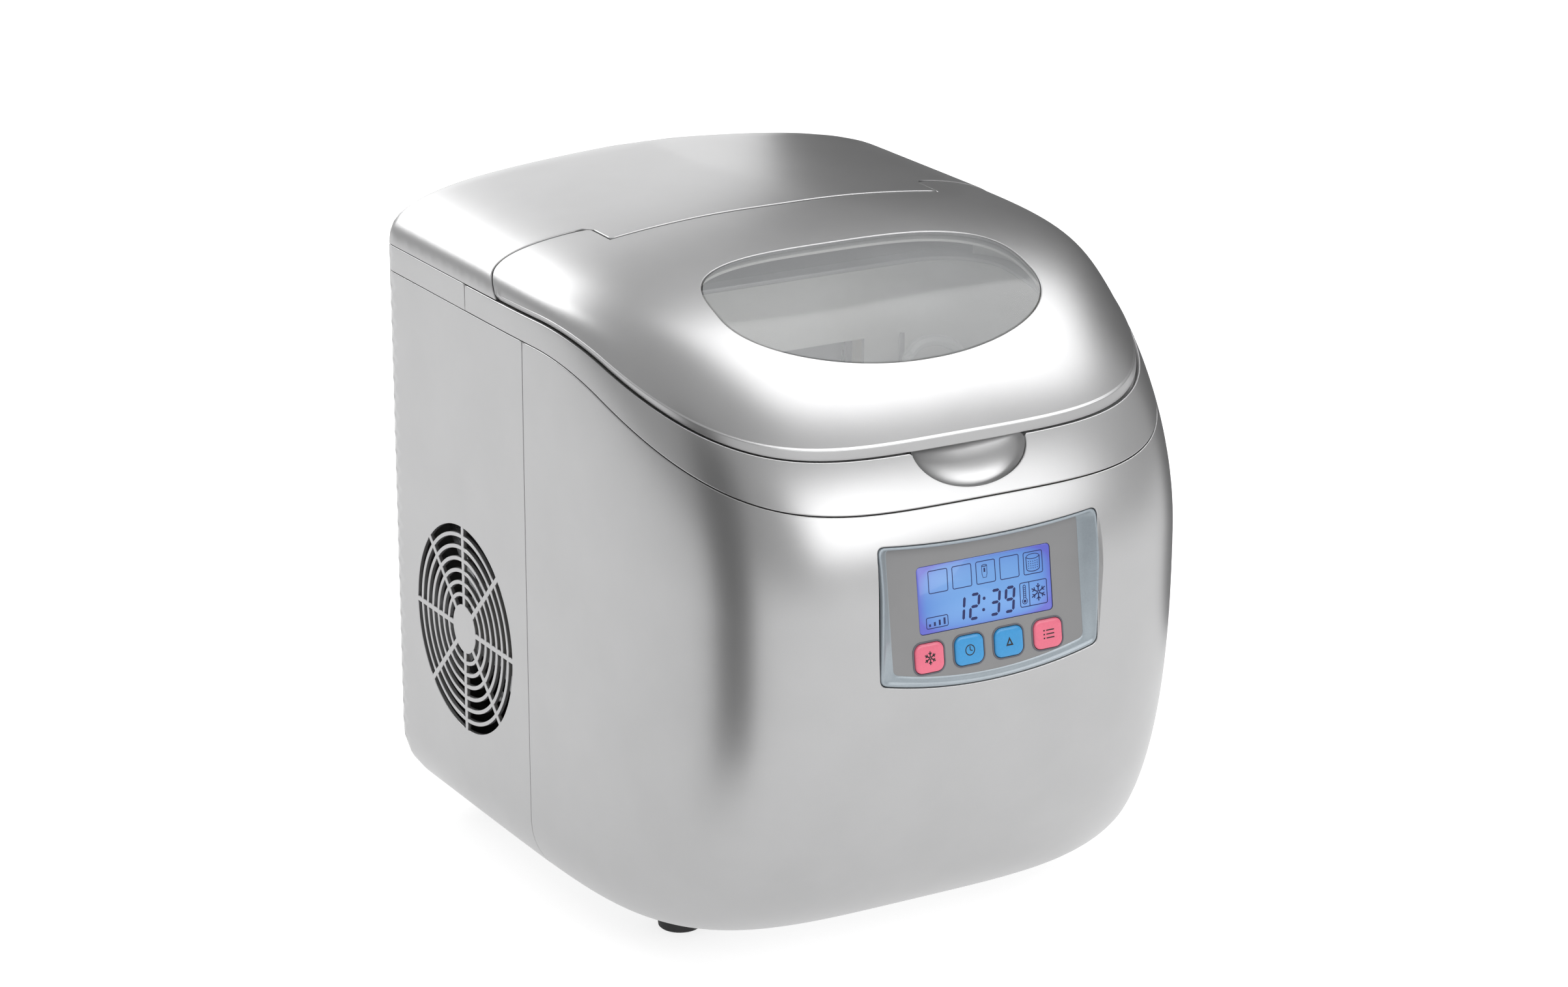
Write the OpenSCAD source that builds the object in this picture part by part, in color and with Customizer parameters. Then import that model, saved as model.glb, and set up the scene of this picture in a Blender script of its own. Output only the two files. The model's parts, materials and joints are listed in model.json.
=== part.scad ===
// Countertop ice maker with a hinged lid, an ice basket, a tilting water tray and a compressor.
// Millimetres. X points to the right seen from the front, Y to the back, Z up.
// The origin is on the floor, under the middle of the body.

/* [Body] */
// Width across the side walls
body_w = 366; // [340:1:440]
// Depth from the front bulge to the back wall
body_d = 432; // [410:1:520]
// Height of the top above the floor
body_h = 425; // [415:1:510]
// Height of the feet below the body
foot_h = 13; // [8:1:20]
// Wall of the outer shells
wall = 2.5; // [2:0.1:3.5]
// Gap between neighbouring shells
shell_gap = 0.4; // [0.3:0.05:0.8]
// Height of the furthest forward point of the front bulge
bulge_z = 247; // [220:1:260]
// How far the chin runs back under the body
chin_run = 126; // [100:1:140]
// Radius along the bottom of the side walls
belly_r = 46; // [30:1:52]
// Height of the rounded shoulder below the top
shoulder_h = 51; // [45:1:60]
// Radius of the two upright corners at the back
corner_r = 16; // [8:1:22]

/* [Seams] */
// Distance of the front shell's upright seam behind the middle
seam_y = 20; // [5:1:24]
// Height of the top frame's lower seam below the top, along the sides
band_drop = 61; // [57:1:70]
// Height of the lid's lower edge below the top, along the sides
lid_drop = 44; // [42:1:50]
// Slope of the top frame's lower seam towards the front, in degrees
band_slope = 20; // [16:1:22]
// Slope of the lid's lower edge towards the front, in degrees
lid_slope = 18.3; // [16:0.1:20]
// Distance of the top frame's rear joint behind the middle
frame_end_y = 96; // [90:1:110]

/* [Lid] */
// Half width of the cover's tongue between the lid's two ears
tongue_half = 115; // [100:1:120]
// Front edge of the tongue behind the middle
tongue_y = 35; // [30:1:38]
// Hinge axis behind the middle
hinge_y = 56; // [54:1:60]
// Hinge axis below the top
hinge_drop = 22; // [20:1:24]
// Radius of the hinge pins
pin_r = 2.5; // [2:0.25:3]
// Half width of the window
window_half = 107; // [80:1:112]
// Middle of the window in front of the middle of the body
window_y = -86; // [-90:1:-80]
// How far the window runs forward and back of its middle
window_reach = 56; // [40:1:58]

/* [Control panel] */
// Width of the panel
panel_w = 148; // [130:1:160]
// Height of the panel along its slope
panel_h = 91; // [82:1:94]
// Lean of the panel away from upright, in degrees
panel_lean = 8; // [6:0.5:10]
// Height of the panel's middle
panel_z = 238.5; // [232:0.5:246]
// Depth of the panel's face behind the front bulge
panel_depth = 8.5; // [7:0.5:12]
// Width of the display
display_w = 91; // [80:1:100]
// Height of the display
display_h = 40; // [34:1:42]
// Width of one button
button_w = 20; // [16:0.5:21]
// Spacing of the buttons
button_pitch = 27; // [24:0.5:30]
// Travel of a button
button_travel = 1; // [0.6:0.1:1.5]

/* [Cold compartment] */
// Width of the cold compartment
tub_w = 272; // [250:1:276]
// Front wall of the compartment in front of the middle
tub_front = 148; // [140:1:150]
// Back wall of the compartment behind the middle
tub_back = 30; // [28:1:34]
// Height of the compartment's floor
tub_floor = 121; // [112:1:130]
// Wall of the compartment
tub_wall = 3; // [2:0.5:4]
// Thickness of the foam around the compartment
foam = 12; // [8:1:13]
// Width of the ice basket
basket_w = 236; // [200:1:244]
// Height of the basket's tall walls
basket_h = 108; // [90:1:112]
// Wall of the basket
basket_wall = 2.2; // [1.8:0.1:3]

/* [Ice mechanism] */
// Axis of the tray in front of the middle
tray_y = -14; // [-15:0.5:-13]
// Height of the tray's axis
tray_z = 268; // [262:1:272]
// Outer radius of the trough
tray_r = 26; // [24:0.5:27]
// Half length of the trough
tray_half = 92; // [84:1:94]
// Radius of the tray's shaft
shaft_r = 4; // [3:0.5:5]
// Radial clearance of the running fits
fit_gap = 0.08; // [0.05:0.01:0.1]
// Tips of the pusher's blade from the tray's axis
pusher_r = 40; // [38:0.5:40.5]
// Number of freezing fingers
finger_count = 9; // [6:1:9]
// Spacing of the freezing fingers
finger_pitch = 19; // [17:0.5:19]

/* [Cooling] */
// Middle of the fan and its grille behind the middle
fan_y = 108; // [104:1:112]
// Height of the fan's axis
fan_z = 155; // [148:1:162]
// Radius of the round grille
grille_r = 67; // [60:1:72]
// Radius of the fan blades
fan_r = 58; // [50:1:59]
// Compressor's place to the right of the middle
comp_x = 72; // [66:1:73]
// Compressor's place behind the middle
comp_y = 126; // [122:1:127]
// Radius of the compressor's shell
comp_r = 52; // [46:1:54]

/* [Feet] */
// Distance of the feet to each side of the middle
foot_x = 116; // [100:1:117]
// Front feet in front of the middle
foot_front = 48; // [36:1:48]
// Rear feet behind the middle
foot_rear = 172; // [156:1:172]
// Radius of a foot where it meets the body
foot_r = 15; // [11:1:17]

/* [Hidden] */
$fn = 48;

half_w = body_w / 2;
back_y = body_d / 2;
front_y = -body_d / 2;
base_z = foot_h;
back_run = 46;                       // straight stretch in front of the back wall
break_y = back_y - back_run;         // the front curve starts here
top_round = 14;
low_round = 25;
far = 3 * body_d;

silver = [0.75, 0.75, 0.76];
dark = [0.12, 0.12, 0.13];
white = [0.92, 0.92, 0.9];
copper = [0.75, 0.42, 0.25];
steel = [0.6, 0.6, 0.62];
pink = [0.93, 0.36, 0.5];
blue = [0.2, 0.6, 0.88];

// ---------- the body's skin: level slices, each a superellipse in front and a box behind ----------
function clamp01(v) = min(max(v, 0), 1);
function shoulder_z() = body_h - shoulder_h;

// half width at height z, drawn in by inset o
function side_at(z, o) =
    let (w = half_w - o, low = base_z + o, r = belly_r - o)
    let (t = clamp01((z - shoulder_z()) / (shoulder_h - o)))
    let (s = clamp01((low + r - z) / r))
    z > shoulder_z() ? w * pow(max(1 - pow(t, 4), 0.02), 0.83) : w - r + r * sqrt(1 - s * s);

// reach of the front curve forward from break_y at height z
function reach_at(z, o) =
    let (full = break_y - front_y - o)
    let (u = clamp01((z - bulge_z) / (body_h - o - bulge_z)))
    let (d = clamp01((bulge_z - z) / (bulge_z - base_z - o)))
    z >= bulge_z ? full * pow(max(1 - u * u, 0.003), 1 / 3)
                 : full - (chin_run - o / 2) * (1 - sqrt(1 - pow(d, 2.5)));

// run of the straight part back from break_y at height z
function back_at(z, o) =
    let (t = clamp01((z - (body_h - o - top_round)) / top_round))
    let (s = clamp01((base_z + o + low_round - z) / low_round))
    back_run - o - top_round * (1 - sqrt(1 - t * t)) - low_round * (1 - sqrt(1 - s * s));

SIDE_V = [0, 0.2, 0.4, 0.55, 0.66, 0.75, 0.82, 0.88];
SIDE_U = pow(1 - pow(0.88, 6), 1 / 4);
FRONT_STEPS = 14;
CORNER_STEPS = 4;

// one level slice, counter-clockwise from the right side
function ring(z, o) =
    let (a = side_at(z, o), b = reach_at(z, o), c = back_at(z, o), r = min(corner_r, a, c) - 0.01)
    concat(
        [for (i = [0:CORNER_STEPS]) let (g = 90 * i / CORNER_STEPS)
            [a - r + r * cos(g), break_y + c - r + r * sin(g), z]],
        [for (i = [0:CORNER_STEPS]) let (g = 90 + 90 * i / CORNER_STEPS)
            [-a + r + r * cos(g), break_y + c - r + r * sin(g), z]],
        [for (i = [0:len(SIDE_V) - 1]) let (v = SIDE_V[i])
            [-a * pow(1 - pow(v, 6), 1 / 4), break_y - b * v, z]],
        [for (i = [1:FRONT_STEPS - 1]) let (u = SIDE_U * (2 * i / FRONT_STEPS - 1))
            [a * u, break_y - b * pow(1 - pow(u, 4), 1 / 6), z]],
        [for (i = [len(SIDE_V) - 1:-1:0]) let (v = SIDE_V[i])
            [a * pow(1 - pow(v, 6), 1 / 4), break_y - b * v, z]]
    );

// slice heights: close together along the bottom edge and towards the top
function levels(o) =
    let (low = base_z + o, top = body_h - o, mid = low + belly_r)
    concat(
        [for (i = [0:5]) low + belly_r * (1 - cos(15 * i))],
        [for (i = [0:3]) mid + (bulge_z - mid) * i / 4],
        [for (i = [0:4]) bulge_z + (shoulder_z() - bulge_z) * i / 5],
        [for (i = [0:9]) shoulder_z() + (top - shoulder_z()) * sin(9.8 * i)],
        [top]
    );

module loft(rings) {
    n = len(rings[0]);
    m = len(rings);
    points = [for (r = rings) for (p = r) p];
    sides = [for (j = [0:m - 2]) for (i = [0:n - 1]) let (k = (i + 1) % n)
        each [[j * n + i, (j + 1) * n + i, (j + 1) * n + k],
              [j * n + i, (j + 1) * n + k, j * n + k]]];
    polyhedron(points, concat(sides, [[for (i = [0:n - 1]) i]],
        [[for (i = [n - 1:-1:0]) (m - 1) * n + i]]));
}

module skin(o) loft([for (z = levels(o)) ring(z, o)]);

// the children in one mesh, as they are
module one_mesh() resize([0, 0, 0]) children();

module shell(o0, o1) {
    difference() {
        skin(o0);
        skin(o1);
    }
}

// ---------- seam curves in the side view: level behind, one arc, then a straight slope ----------
BEND_R = 220;
ARC_STEPS = 8;

// height of a seam at distance y, for a level part at height top and a bend centred on y0
function seam_points(top, slope, y0, drop) =
    let (t = BEND_R * tan(slope / 2), end = front_y - 20)
    concat(
        [[far, top - drop]],
        [for (i = [0:ARC_STEPS]) let (g = slope * i / ARC_STEPS)
            [y0 + t - BEND_R * sin(g), top - BEND_R * (1 - cos(g)) - drop]],
        [[end, top - (y0 - end) * tan(slope) - drop]]
    );

BAND_BEND_Y = -32;
LID_BEND_Y = -31;
function band_seam(drop) = seam_points(body_h - band_drop, band_slope, BAND_BEND_Y, drop);
function lid_seam(drop) = seam_points(body_h - lid_drop, lid_slope, LID_BEND_Y, drop);

// everything below a seam, as a prism across the body
module below(points) {
    rotate([90, 0, 90])
        translate([0, 0, -far])
            linear_extrude(2 * far)
                polygon(concat(points, [[front_y - 20, -far], [far, -far]]));
}

module behind(y) translate([-far, y, -far]) cube([2 * far, far, 2 * far]);
module ahead(y) translate([-far, y - 2 * far, -far]) cube([2 * far, 2 * far, 2 * far]);

module round_plan(x0, x1, y0, y1, r, h) {
    linear_extrude(h) {
        translate([x0 + r, y0]) square([x1 - x0 - 2 * r, y1 - y0]);
        translate([x0, y0 + r]) square([x1 - x0, y1 - y0 - 2 * r]);
        for (x = [x0 + r, x1 - r]) for (y = [y0 + r, y1 - r]) translate([x, y]) circle(r);
    }
}

// a slot with round ends, along y, through h
module slot(w, l, h) {
    linear_extrude(h, center = true) {
        square([w, l - w], center = true);
        for (s = [-1, 1]) translate([0, s * (l - w) / 2]) circle(w / 2, $fn = 24);
    }
}

// a round tube swept along smooth points
function spline_at(p, i, t) =
    let (n = len(p) - 1, a = p[max(i - 1, 0)], b = p[i], c = p[min(i + 1, n)], d = p[min(i + 2, n)])
    0.5 * (2 * b + (c - a) * t + (2 * a - 5 * b + 4 * c - d) * t * t
        + (3 * b - a - 3 * c + d) * t * t * t);
function unit(v) = v / norm(v);
function sweep_ring(c, dir, r, sides) =
    let (ref = abs(dir[2]) > 0.9 ? [0, 1, 0] : [0, 0, 1])
    let (u = unit(cross(ref, dir)), w = cross(dir, u))
    [for (k = [0:sides - 1]) c + r * (cos(360 * k / sides) * u + sin(360 * k / sides) * w)];

module hose(p, r, sides = 8, steps = 4) {
    route = concat(
        [for (i = [0:len(p) - 2]) for (s = [0:steps - 1]) spline_at(p, i, s / steps)],
        [p[len(p) - 1]]);
    n = len(route) - 1;
    last = len(p) - 1;
    loft([for (i = [0:n]) sweep_ring(route[i], unit(i == 0 ? p[0] - p[1]
        : i == n ? p[last - 1] - p[last] : route[i - 1] - route[i + 1]), r, sides)]);
}

// ---------- outer shells ----------
grille_hub = 0.2 * grille_r;
SLOT_ROWS = 7;
SPOKES = 8;
row_pitch = (grille_r - grille_hub) / SLOT_ROWS;

// the grille's concentric slots, as rings cut by the spokes
module grille_slots() {
    translate([-half_w, fan_y, fan_z]) rotate([0, 90, 0]) difference() {
        for (i = [0:SLOT_ROWS - 1]) {
            r = grille_hub + (i + 0.4) * row_pitch;
            rotate_extrude() translate([r, -wall - 4]) square([row_pitch * 0.6, 2 * wall + 8]);
        }
        for (k = [0:SPOKES - 1]) rotate([0, 0, 360 * k / SPOKES])
            translate([0, -1.6, -wall - 9]) cube([grille_r + 5, 3.2, 2 * wall + 18]);
    }
}

LOUVRES = 9;
module louvres() {
    for (i = [0:LOUVRES - 1]) translate([half_w, fan_y - 40 + 10 * i, fan_z + 10])
        rotate([0, 90, 0]) rotate([0, 0, 90]) slot(4, 90, 4 * wall);
    for (i = [0:LOUVRES - 1]) translate([comp_x - 40 + 10 * i, back_y, fan_z + 40])
        rotate([90, 0, 0]) slot(4, 70, 4 * wall);
}

gland_x = -110;
gland_z = 62;
gland_r = 8;
band_z = body_h - band_drop;
lid_z = body_h - lid_drop;

// box-like shell of the rear half: an exact prism with its bottom edge rounded
module rear_block(o) {
    r = belly_r - o;
    intersection() {
        round_plan(-half_w + o, half_w - o, -far, back_y - o, corner_r - min(o, 4), body_h);
        rotate([90, 0, 0]) translate([0, 0, -far]) linear_extrude(2 * far) {
            translate([-half_w + o + r, base_z + o]) square([body_w - 2 * o - 2 * r, body_h]);
            translate([-half_w + o, base_z + o + r]) square([body_w - 2 * o, body_h]);
            for (s = [-1, 1]) translate([s * (half_w - o - r), base_z + o + r])
                circle(r, $fn = 96);
        }
    }
}

drain_y = 60;
drain_z = 76;
cup_r = 14;
cup_deep = 9;

module rear_housing() color(silver) {
    difference() {
        rear_block(0);
        rear_block(wall);
        ahead(seam_y + shell_gap / 2);
        translate([-far, -far, band_z - shell_gap / 2]) cube(2 * far);
        translate([0, 0, -1]) round_plan(-pan_half - shell_gap, pan_half + shell_gap,
            pan_front - 50, pan_back + shell_gap, pan_r, base_z + wall + 1.5);
        grille_slots();
        louvres();
        translate([gland_x, back_y, gland_z]) rotate([90, 0, 0])
            cylinder(r = gland_r + 0.05, h = 4 * wall, center = true);
        translate([half_w, drain_y, drain_z]) rotate([0, 90, 0])
            cylinder(r = cup_r, h = 4 * wall, center = true);
        at_back_screws() {
            cylinder(r = 4.2, h = 2.6, center = true);
            cylinder(r = 1.85, h = 4 * wall, center = true);
        }
    }
}

module front_shell() color(silver) one_mesh() {
    difference() {
        shell(0, wall);
        behind(seam_y - shell_gap / 2);
        difference() {
            translate([-far, -far, 0]) cube([2 * far, 2 * far, far]);
            below(band_seam(shell_gap / 2));
        }
        translate([0, 0, -1]) round_plan(-pan_half - shell_gap, pan_half + shell_gap,
            pan_front - shell_gap, far, pan_r, base_z + wall + 1.5);
        on_panel() panel_prism(shell_gap, -30, 40);
    }
}

// the deck round the compartment's mouth lies this far under the lid's edge
deck_drop = 6;
deck_t = 2.5;
mouth_r = 42;

module mouth(grow, z0, h) {
    translate([0, 0, z0]) round_plan(-tub_w / 2 - grow, tub_w / 2 + grow,
        -tub_front - grow, tub_back + grow, mouth_r + grow, h);
}

// the shallow half-moon for the thumb, in the front of the top frame
scoop_w = 76;
scoop_reach = 26;
scoop_deep = 11;
scoop_tilt = 56.5;                   // the frame's slope at its front
scoop_z = body_h - 95.5;
scoop_y = break_y - reach_at(scoop_z, 0);
module scoop(g) {
    translate([0, scoop_y, scoop_z]) rotate([scoop_tilt, 0, 0])
        resize([scoop_w + 2 * g, 2 * (scoop_reach + g), 2 * (scoop_deep + g)]) sphere(r = 20, $fn = 40);
}

module top_frame() color(silver) one_mesh() {
    difference() {
        union() {
            intersection() {
                shell(0, wall);
                below(lid_seam(shell_gap / 2));
            }
            intersection() {
                skin(wall / 2);
                difference() {
                    below(lid_seam(deck_drop));
                    below(lid_seam(deck_drop + deck_t));
                }
                ahead(tub_back + 15);
            }
            intersection() {
                skin(wall / 2);
                below(lid_seam(shell_gap + 2));
                scoop(wall);
            }
        }
        below(band_seam(-shell_gap / 2));
        behind(frame_end_y - shell_gap / 2);
        mouth(0, 0, far);
        scoop(0);
    }
}

module rear_top_band() color(silver) {
    difference() {
        rear_block(0);
        rear_block(wall);
        ahead(frame_end_y + shell_gap / 2);
        translate([-far, -far, -far]) cube([2 * far, 2 * far, far + band_z + shell_gap / 2]);
        translate([-far, -far, lid_z + shell_gap / 2]) cube(2 * far);
    }
}

hinge_z = body_h - hinge_drop;
ear_r = 12.6;
ear_gap = 1.2;
tongue_top = body_h - 5;
EDGE_SLANT = 0.9;                    // the tongue's edge leans so that the lid lifts clear of it
lid_low_y = 52;                      // where the lid's rear edge meets its lower edge

// side outline of everything in front of the ears' rear edge, grown by g
module ear_side(g) {
    rotate([90, 0, 90]) translate([0, 0, -far]) linear_extrude(2 * far) {
        translate([hinge_y, hinge_z]) circle(ear_r + g, $fn = 64);
        polygon([[-far, -1], [lid_low_y + g, -1], [lid_low_y + g, lid_z],
            [hinge_y + (ear_r + g) * cos(45), hinge_z - (ear_r + g) * sin(45)],
            [hinge_y, hinge_z], [hinge_y, hinge_z + ear_r + g], [hinge_y, far], [-far, far]]);
    }
}

// the tongue's plan, grown by g at the sides, with its slanted front edge
module tongue_zone(g) {
    rotate([90, 0, 90]) translate([0, 0, -tongue_half - g]) linear_extrude(2 * (tongue_half + g))
        polygon([[tongue_y - g - EDGE_SLANT * 60, tongue_top - 60], [far, tongue_top - 60],
            [far, tongue_top + 60], [tongue_y - g + EDGE_SLANT * 60, tongue_top + 60]]);
}

module lid_zone(g) {
    difference() {
        ear_side(g);
        tongue_zone(-g);
        below(lid_seam(g - shell_gap / 2));
    }
}

cheek_x = tongue_half - 6.5;
boss_x0 = tongue_half + 1;
boss_x1 = tongue_half + 16;
boss_r = pin_r + 3;
pin_seat = 0.03;

module rear_cover() color(silver) one_mesh() {
    difference() {
        union() {
            difference() {
                shell(0, wall);
                lid_zone(ear_gap - 0.4);
                below([[far, lid_z + shell_gap / 2], [-far, lid_z + shell_gap / 2]]);
                ahead(tongue_y - 10);
            }
            for (s = [-1, 1]) intersection() {
                skin(wall / 2);
                translate([s > 0 ? cheek_x : -cheek_x - 6, hinge_y - 16, hinge_z - 8])
                    cube([6, 34, 40]);
            }
        }
        for (s = [-1, 1]) translate([s * cheek_x, hinge_y, hinge_z]) rotate([0, 90, 0])
            cylinder(r = pin_r + pin_seat, h = 40, center = true, $fn = 32);
    }
}

// ---------- lid ----------
// window outline: two superellipse halves round its middle
WINDOW_STEPS = 48;
function window_points(g) =
    [for (i = [0:WINDOW_STEPS - 1]) let (a = 360 * i / WINDOW_STEPS)
        let (k = sin(a) > 0 ? 2 / 3.2 : 2 / 2.1)
        [sign(cos(a)) * pow(abs(cos(a)), k) * (window_half + g),
         window_y + sign(sin(a)) * pow(abs(sin(a)), k) * (window_reach + g)]];

module window_prism(g) translate([0, 0, bulge_z]) linear_extrude(far) polygon(window_points(g));

module lid() color(silver) one_mesh() {
    difference() {
        union() {
            intersection() {
                shell(0, wall);
                lid_zone(0);
            }
            for (s = [-1, 1]) lid_boss(s);
        }
        window_prism(0.3);
        for (s = [-1, 1]) translate([s * (boss_x0 + boss_x1) / 2, hinge_y, hinge_z])
            rotate([0, 90, 0]) cylinder(r = pin_r + fit_gap, h = 40, center = true);
    }
}

module lid_boss(s) {
    x = s > 0 ? boss_x0 : -boss_x1;
    translate([x, hinge_y, hinge_z]) rotate([0, 90, 0])
        cylinder(r = boss_r, h = boss_x1 - boss_x0);
    intersection() {
        skin(wall / 2);
        translate([x + 3, hinge_y - 5, hinge_z + 2]) cube([9, 6.5, body_h - hinge_z]);
    }
}

window_t = 2.5;
module lid_window() color([0.8, 0.85, 0.9, 0.4]) one_mesh() {
    intersection() {
        shell(0, window_t);
        window_prism(0);
    }
}

// the white lining under the lid, with its own window opening
lining_in = 7;
lining_t = 1.8;
module lid_lining(g) {
    intersection() {
        shell(lining_in - g, lining_in + lining_t + g);
        difference() {
            intersection() {
                mouth(12, 0, far);
                ahead(hinge_y - ear_r - 10);
            }
            window_prism(4);
            below(lid_seam(-5));
            tongue_zone(8);
        }
    }
}

module lid_inner_panel() color(white) one_mesh() {
    lid_lining(0);
    for (a = [0, 60, 120, 180, 215, 250, 290, 325]) lid_post(a);
}

// short posts that hang the lining from the lid
function post_at(a) =
    let (k = sin(a) > 0 ? 2 / 3.2 : 2 / 2.1)
    [sign(cos(a)) * pow(abs(cos(a)), k) * (window_half + 9),
     window_y + sign(sin(a)) * pow(abs(sin(a)), k) * (window_reach + 9)];
module lid_post(a) {
    intersection() {
        shell(wall + 0.05, lining_in + lining_t / 2);
        translate([post_at(a)[0], post_at(a)[1], body_h / 2]) cylinder(r = 2.5, h = far, $fn = 12);
    }
}

module lid_seal() color(white) one_mesh() {
    difference() {
        intersection() {
            skin(wall + 1.2);
            below(lid_seam(-7));
            mouth(11.5, 0, far);
            ahead(tongue_y - 16);
        }
        below(lid_seam(deck_drop - 0.6));
        mouth(7, 0, far);
        lid_lining(0.05);
    }
}

module hinge_pins() color(steel) {
    for (s = [-1, 1]) translate([s > 0 ? cheek_x : -boss_x1 - 1, hinge_y, hinge_z])
        rotate([0, 90, 0]) cylinder(r = pin_r, h = boss_x1 + 1 - cheek_x);
}

// ---------- control panel ----------
panel_y = front_y + panel_depth;
module on_panel() {
    translate([0, panel_y, panel_z]) rotate([90 - panel_lean, 0, 0]) children();
}

// panel outline: straight sides, top and bottom edges that sag by an arc
PANEL_STEPS = 10;
top_sag = 4;
low_sag = 9;
panel_r = 5;
function panel_points(g) = concat(
    [for (i = [0:PANEL_STEPS]) let (u = 1 - 2 * i / PANEL_STEPS)
        [u * (panel_w / 2 + g), panel_h / 2 + g - top_sag * (1 - u * u)]],
    [for (i = [0:PANEL_STEPS]) let (u = 2 * i / PANEL_STEPS - 1)
        [u * (panel_w / 2 + g), -panel_h / 2 + low_sag - g - low_sag * (1 - u * u)]]);
module panel_prism(g, z0, z1) translate([0, 0, z0]) linear_extrude(z1 - z0) polygon(panel_points(g));

button_h = 18;
button_y = -25.5;
display_y = 8;
face_t = 2;
module rounded_plate(w, h, r, t) {
    round_plan(-w / 2, w / 2, -h / 2, h / 2, r, t);
}
function button_x(i) = (i - 1.5) * button_pitch;

module panel_bezel() color([0.7, 0.76, 0.82]) {
    difference() {
        intersection() {
            on_panel() panel_prism(0, -face_t - 3, 9);
            skin(0.2);
        }
        on_panel() panel_prism(-5, -face_t - 0.2, 40);
        on_panel() panel_prism(-6.4, -40, 40);
    }
}

module panel_face() color([0.66, 0.67, 0.68]) on_panel() difference() {
    panel_prism(-5.2, -face_t, 0);
    translate([0, display_y, -5]) rounded_plate(display_w, display_h, 2, 10);
    for (i = [0:3]) translate([button_x(i), button_y, -5])
        rounded_plate(button_w, button_h, 5, 10);
}

module display_module() color([0.25, 0.4, 0.9]) on_panel() {
    translate([0, display_y, -7]) rounded_plate(display_w - 0.4, display_h - 0.4, 1.8, 6.6);
}

cap_gap = 0.3;
module button_cap(i, tint) color(tint) on_panel() translate([button_x(i), button_y, 0]) {
    translate([0, 0, -face_t - 2])
        rounded_plate(button_w - 2 * cap_gap, button_h - 2 * cap_gap, 4.7, face_t + 3.4);
    translate([0, 0, -face_t - 4]) cylinder(r = 3, h = 2.2);
}
module button_ice() button_cap(0, pink);
module button_set() button_cap(1, blue);
module button_timer() button_cap(2, blue);
module button_select() button_cap(3, pink);

board_back = 15;
board_t = 1.6;
switch_top = -face_t - 4 - button_travel - 0.15;
module control_board() color([0.1, 0.4, 0.2]) on_panel() {
    translate([0, 0, -board_back]) rounded_plate(panel_w - 16, panel_h - 16, 3, board_t);
    translate([-30, 20, -board_back - 3]) cube([18, 12, 3]);
    translate([20, 16, -board_back - 2.2]) cube([14, 14, 2.2]);
    for (s = [-1, 1]) translate([s * 38, display_y, -board_back + board_t])
        cylinder(r = 2.5, h = board_back - board_t - 7);
}

module tact_switches() color(dark) on_panel() {
    for (i = [0:3]) translate([button_x(i), button_y, 0]) {
        translate([-3, -3, -board_back + board_t]) cube([6, 6, 3.5]);
        translate([0, 0, -board_back + board_t + 3.5])
            cylinder(r = 1.7, h = switch_top + board_back - board_t - 3.5);
    }
}

// ---------- cold compartment ----------
motor_x = tub_w / 2 + tub_wall + foam + 1;

module tub_box(grow, z0) {
    translate([0, 0, z0]) round_plan(-tub_w / 2 - grow, tub_w / 2 + grow,
        -tub_front - grow, tub_back + grow, mouth_r + grow, body_h - z0);
}

module under_deck() {
    below(lid_seam(deck_drop + deck_t + 0.3));
}

rest_z = tub_floor + 34;
module tub() color(white) {
    difference() {
        intersection() {
            tub_box(tub_wall, tub_floor - tub_wall);
            under_deck();
        }
        tub_box(0, tub_floor);
        shaft_holes(shaft_r + 4.05);
        translate([0, tub_back, line_z]) rotate([-90, 0, 0]) line_hole();
        translate([tub_w / 2 - 40, -30, tub_floor - 10]) cylinder(r = 5, h = 20);
    }
    // ledges that the basket stands on
    for (s = [-1, 1]) intersection() {
        translate([s > 0 ? tub_w / 2 - 22 : -tub_w / 2 - 1, -tub_front + 40, rest_z - 6])
            cube([23, 50, 5.7]);
        tub_box(0.5, 0);
    }
}

module shaft_holes(r) {
    translate([0, tray_y, tray_z]) rotate([0, 90, 0]) cylinder(r = r, h = far, center = true);
}

module tub_foam() color([0.95, 0.95, 0.88]) {
    difference() {
        intersection() {
            tub_box(tub_wall + foam, tub_floor - tub_wall - foam);
            below(lid_seam(deck_drop + deck_t + 1));
        }
        tub_box(tub_wall + 0.2, tub_floor - tub_wall - 0.2);
        shaft_holes(shaft_r + 5);
        translate([tub_w / 2 - 40, -30, 0]) cylinder(r = 8, h = far);
        translate([0, tub_back, line_z]) rotate([-90, 0, 0]) line_hole();
    }
}

line_z = tray_z + 46;
module line_hole() translate([-60, -14, -1]) cube([120, 30, 40]);

basket_y0 = -tub_front + 4;
basket_y1 = -50;
low_wall = 66;
basket_r = 30;

module basket_outer(grow, z0, h) {
    translate([0, 0, z0]) round_plan(-basket_w / 2 - grow, basket_w / 2 + grow,
        basket_y0 - grow, basket_y1 + grow, basket_r + grow, h);
}

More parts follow.
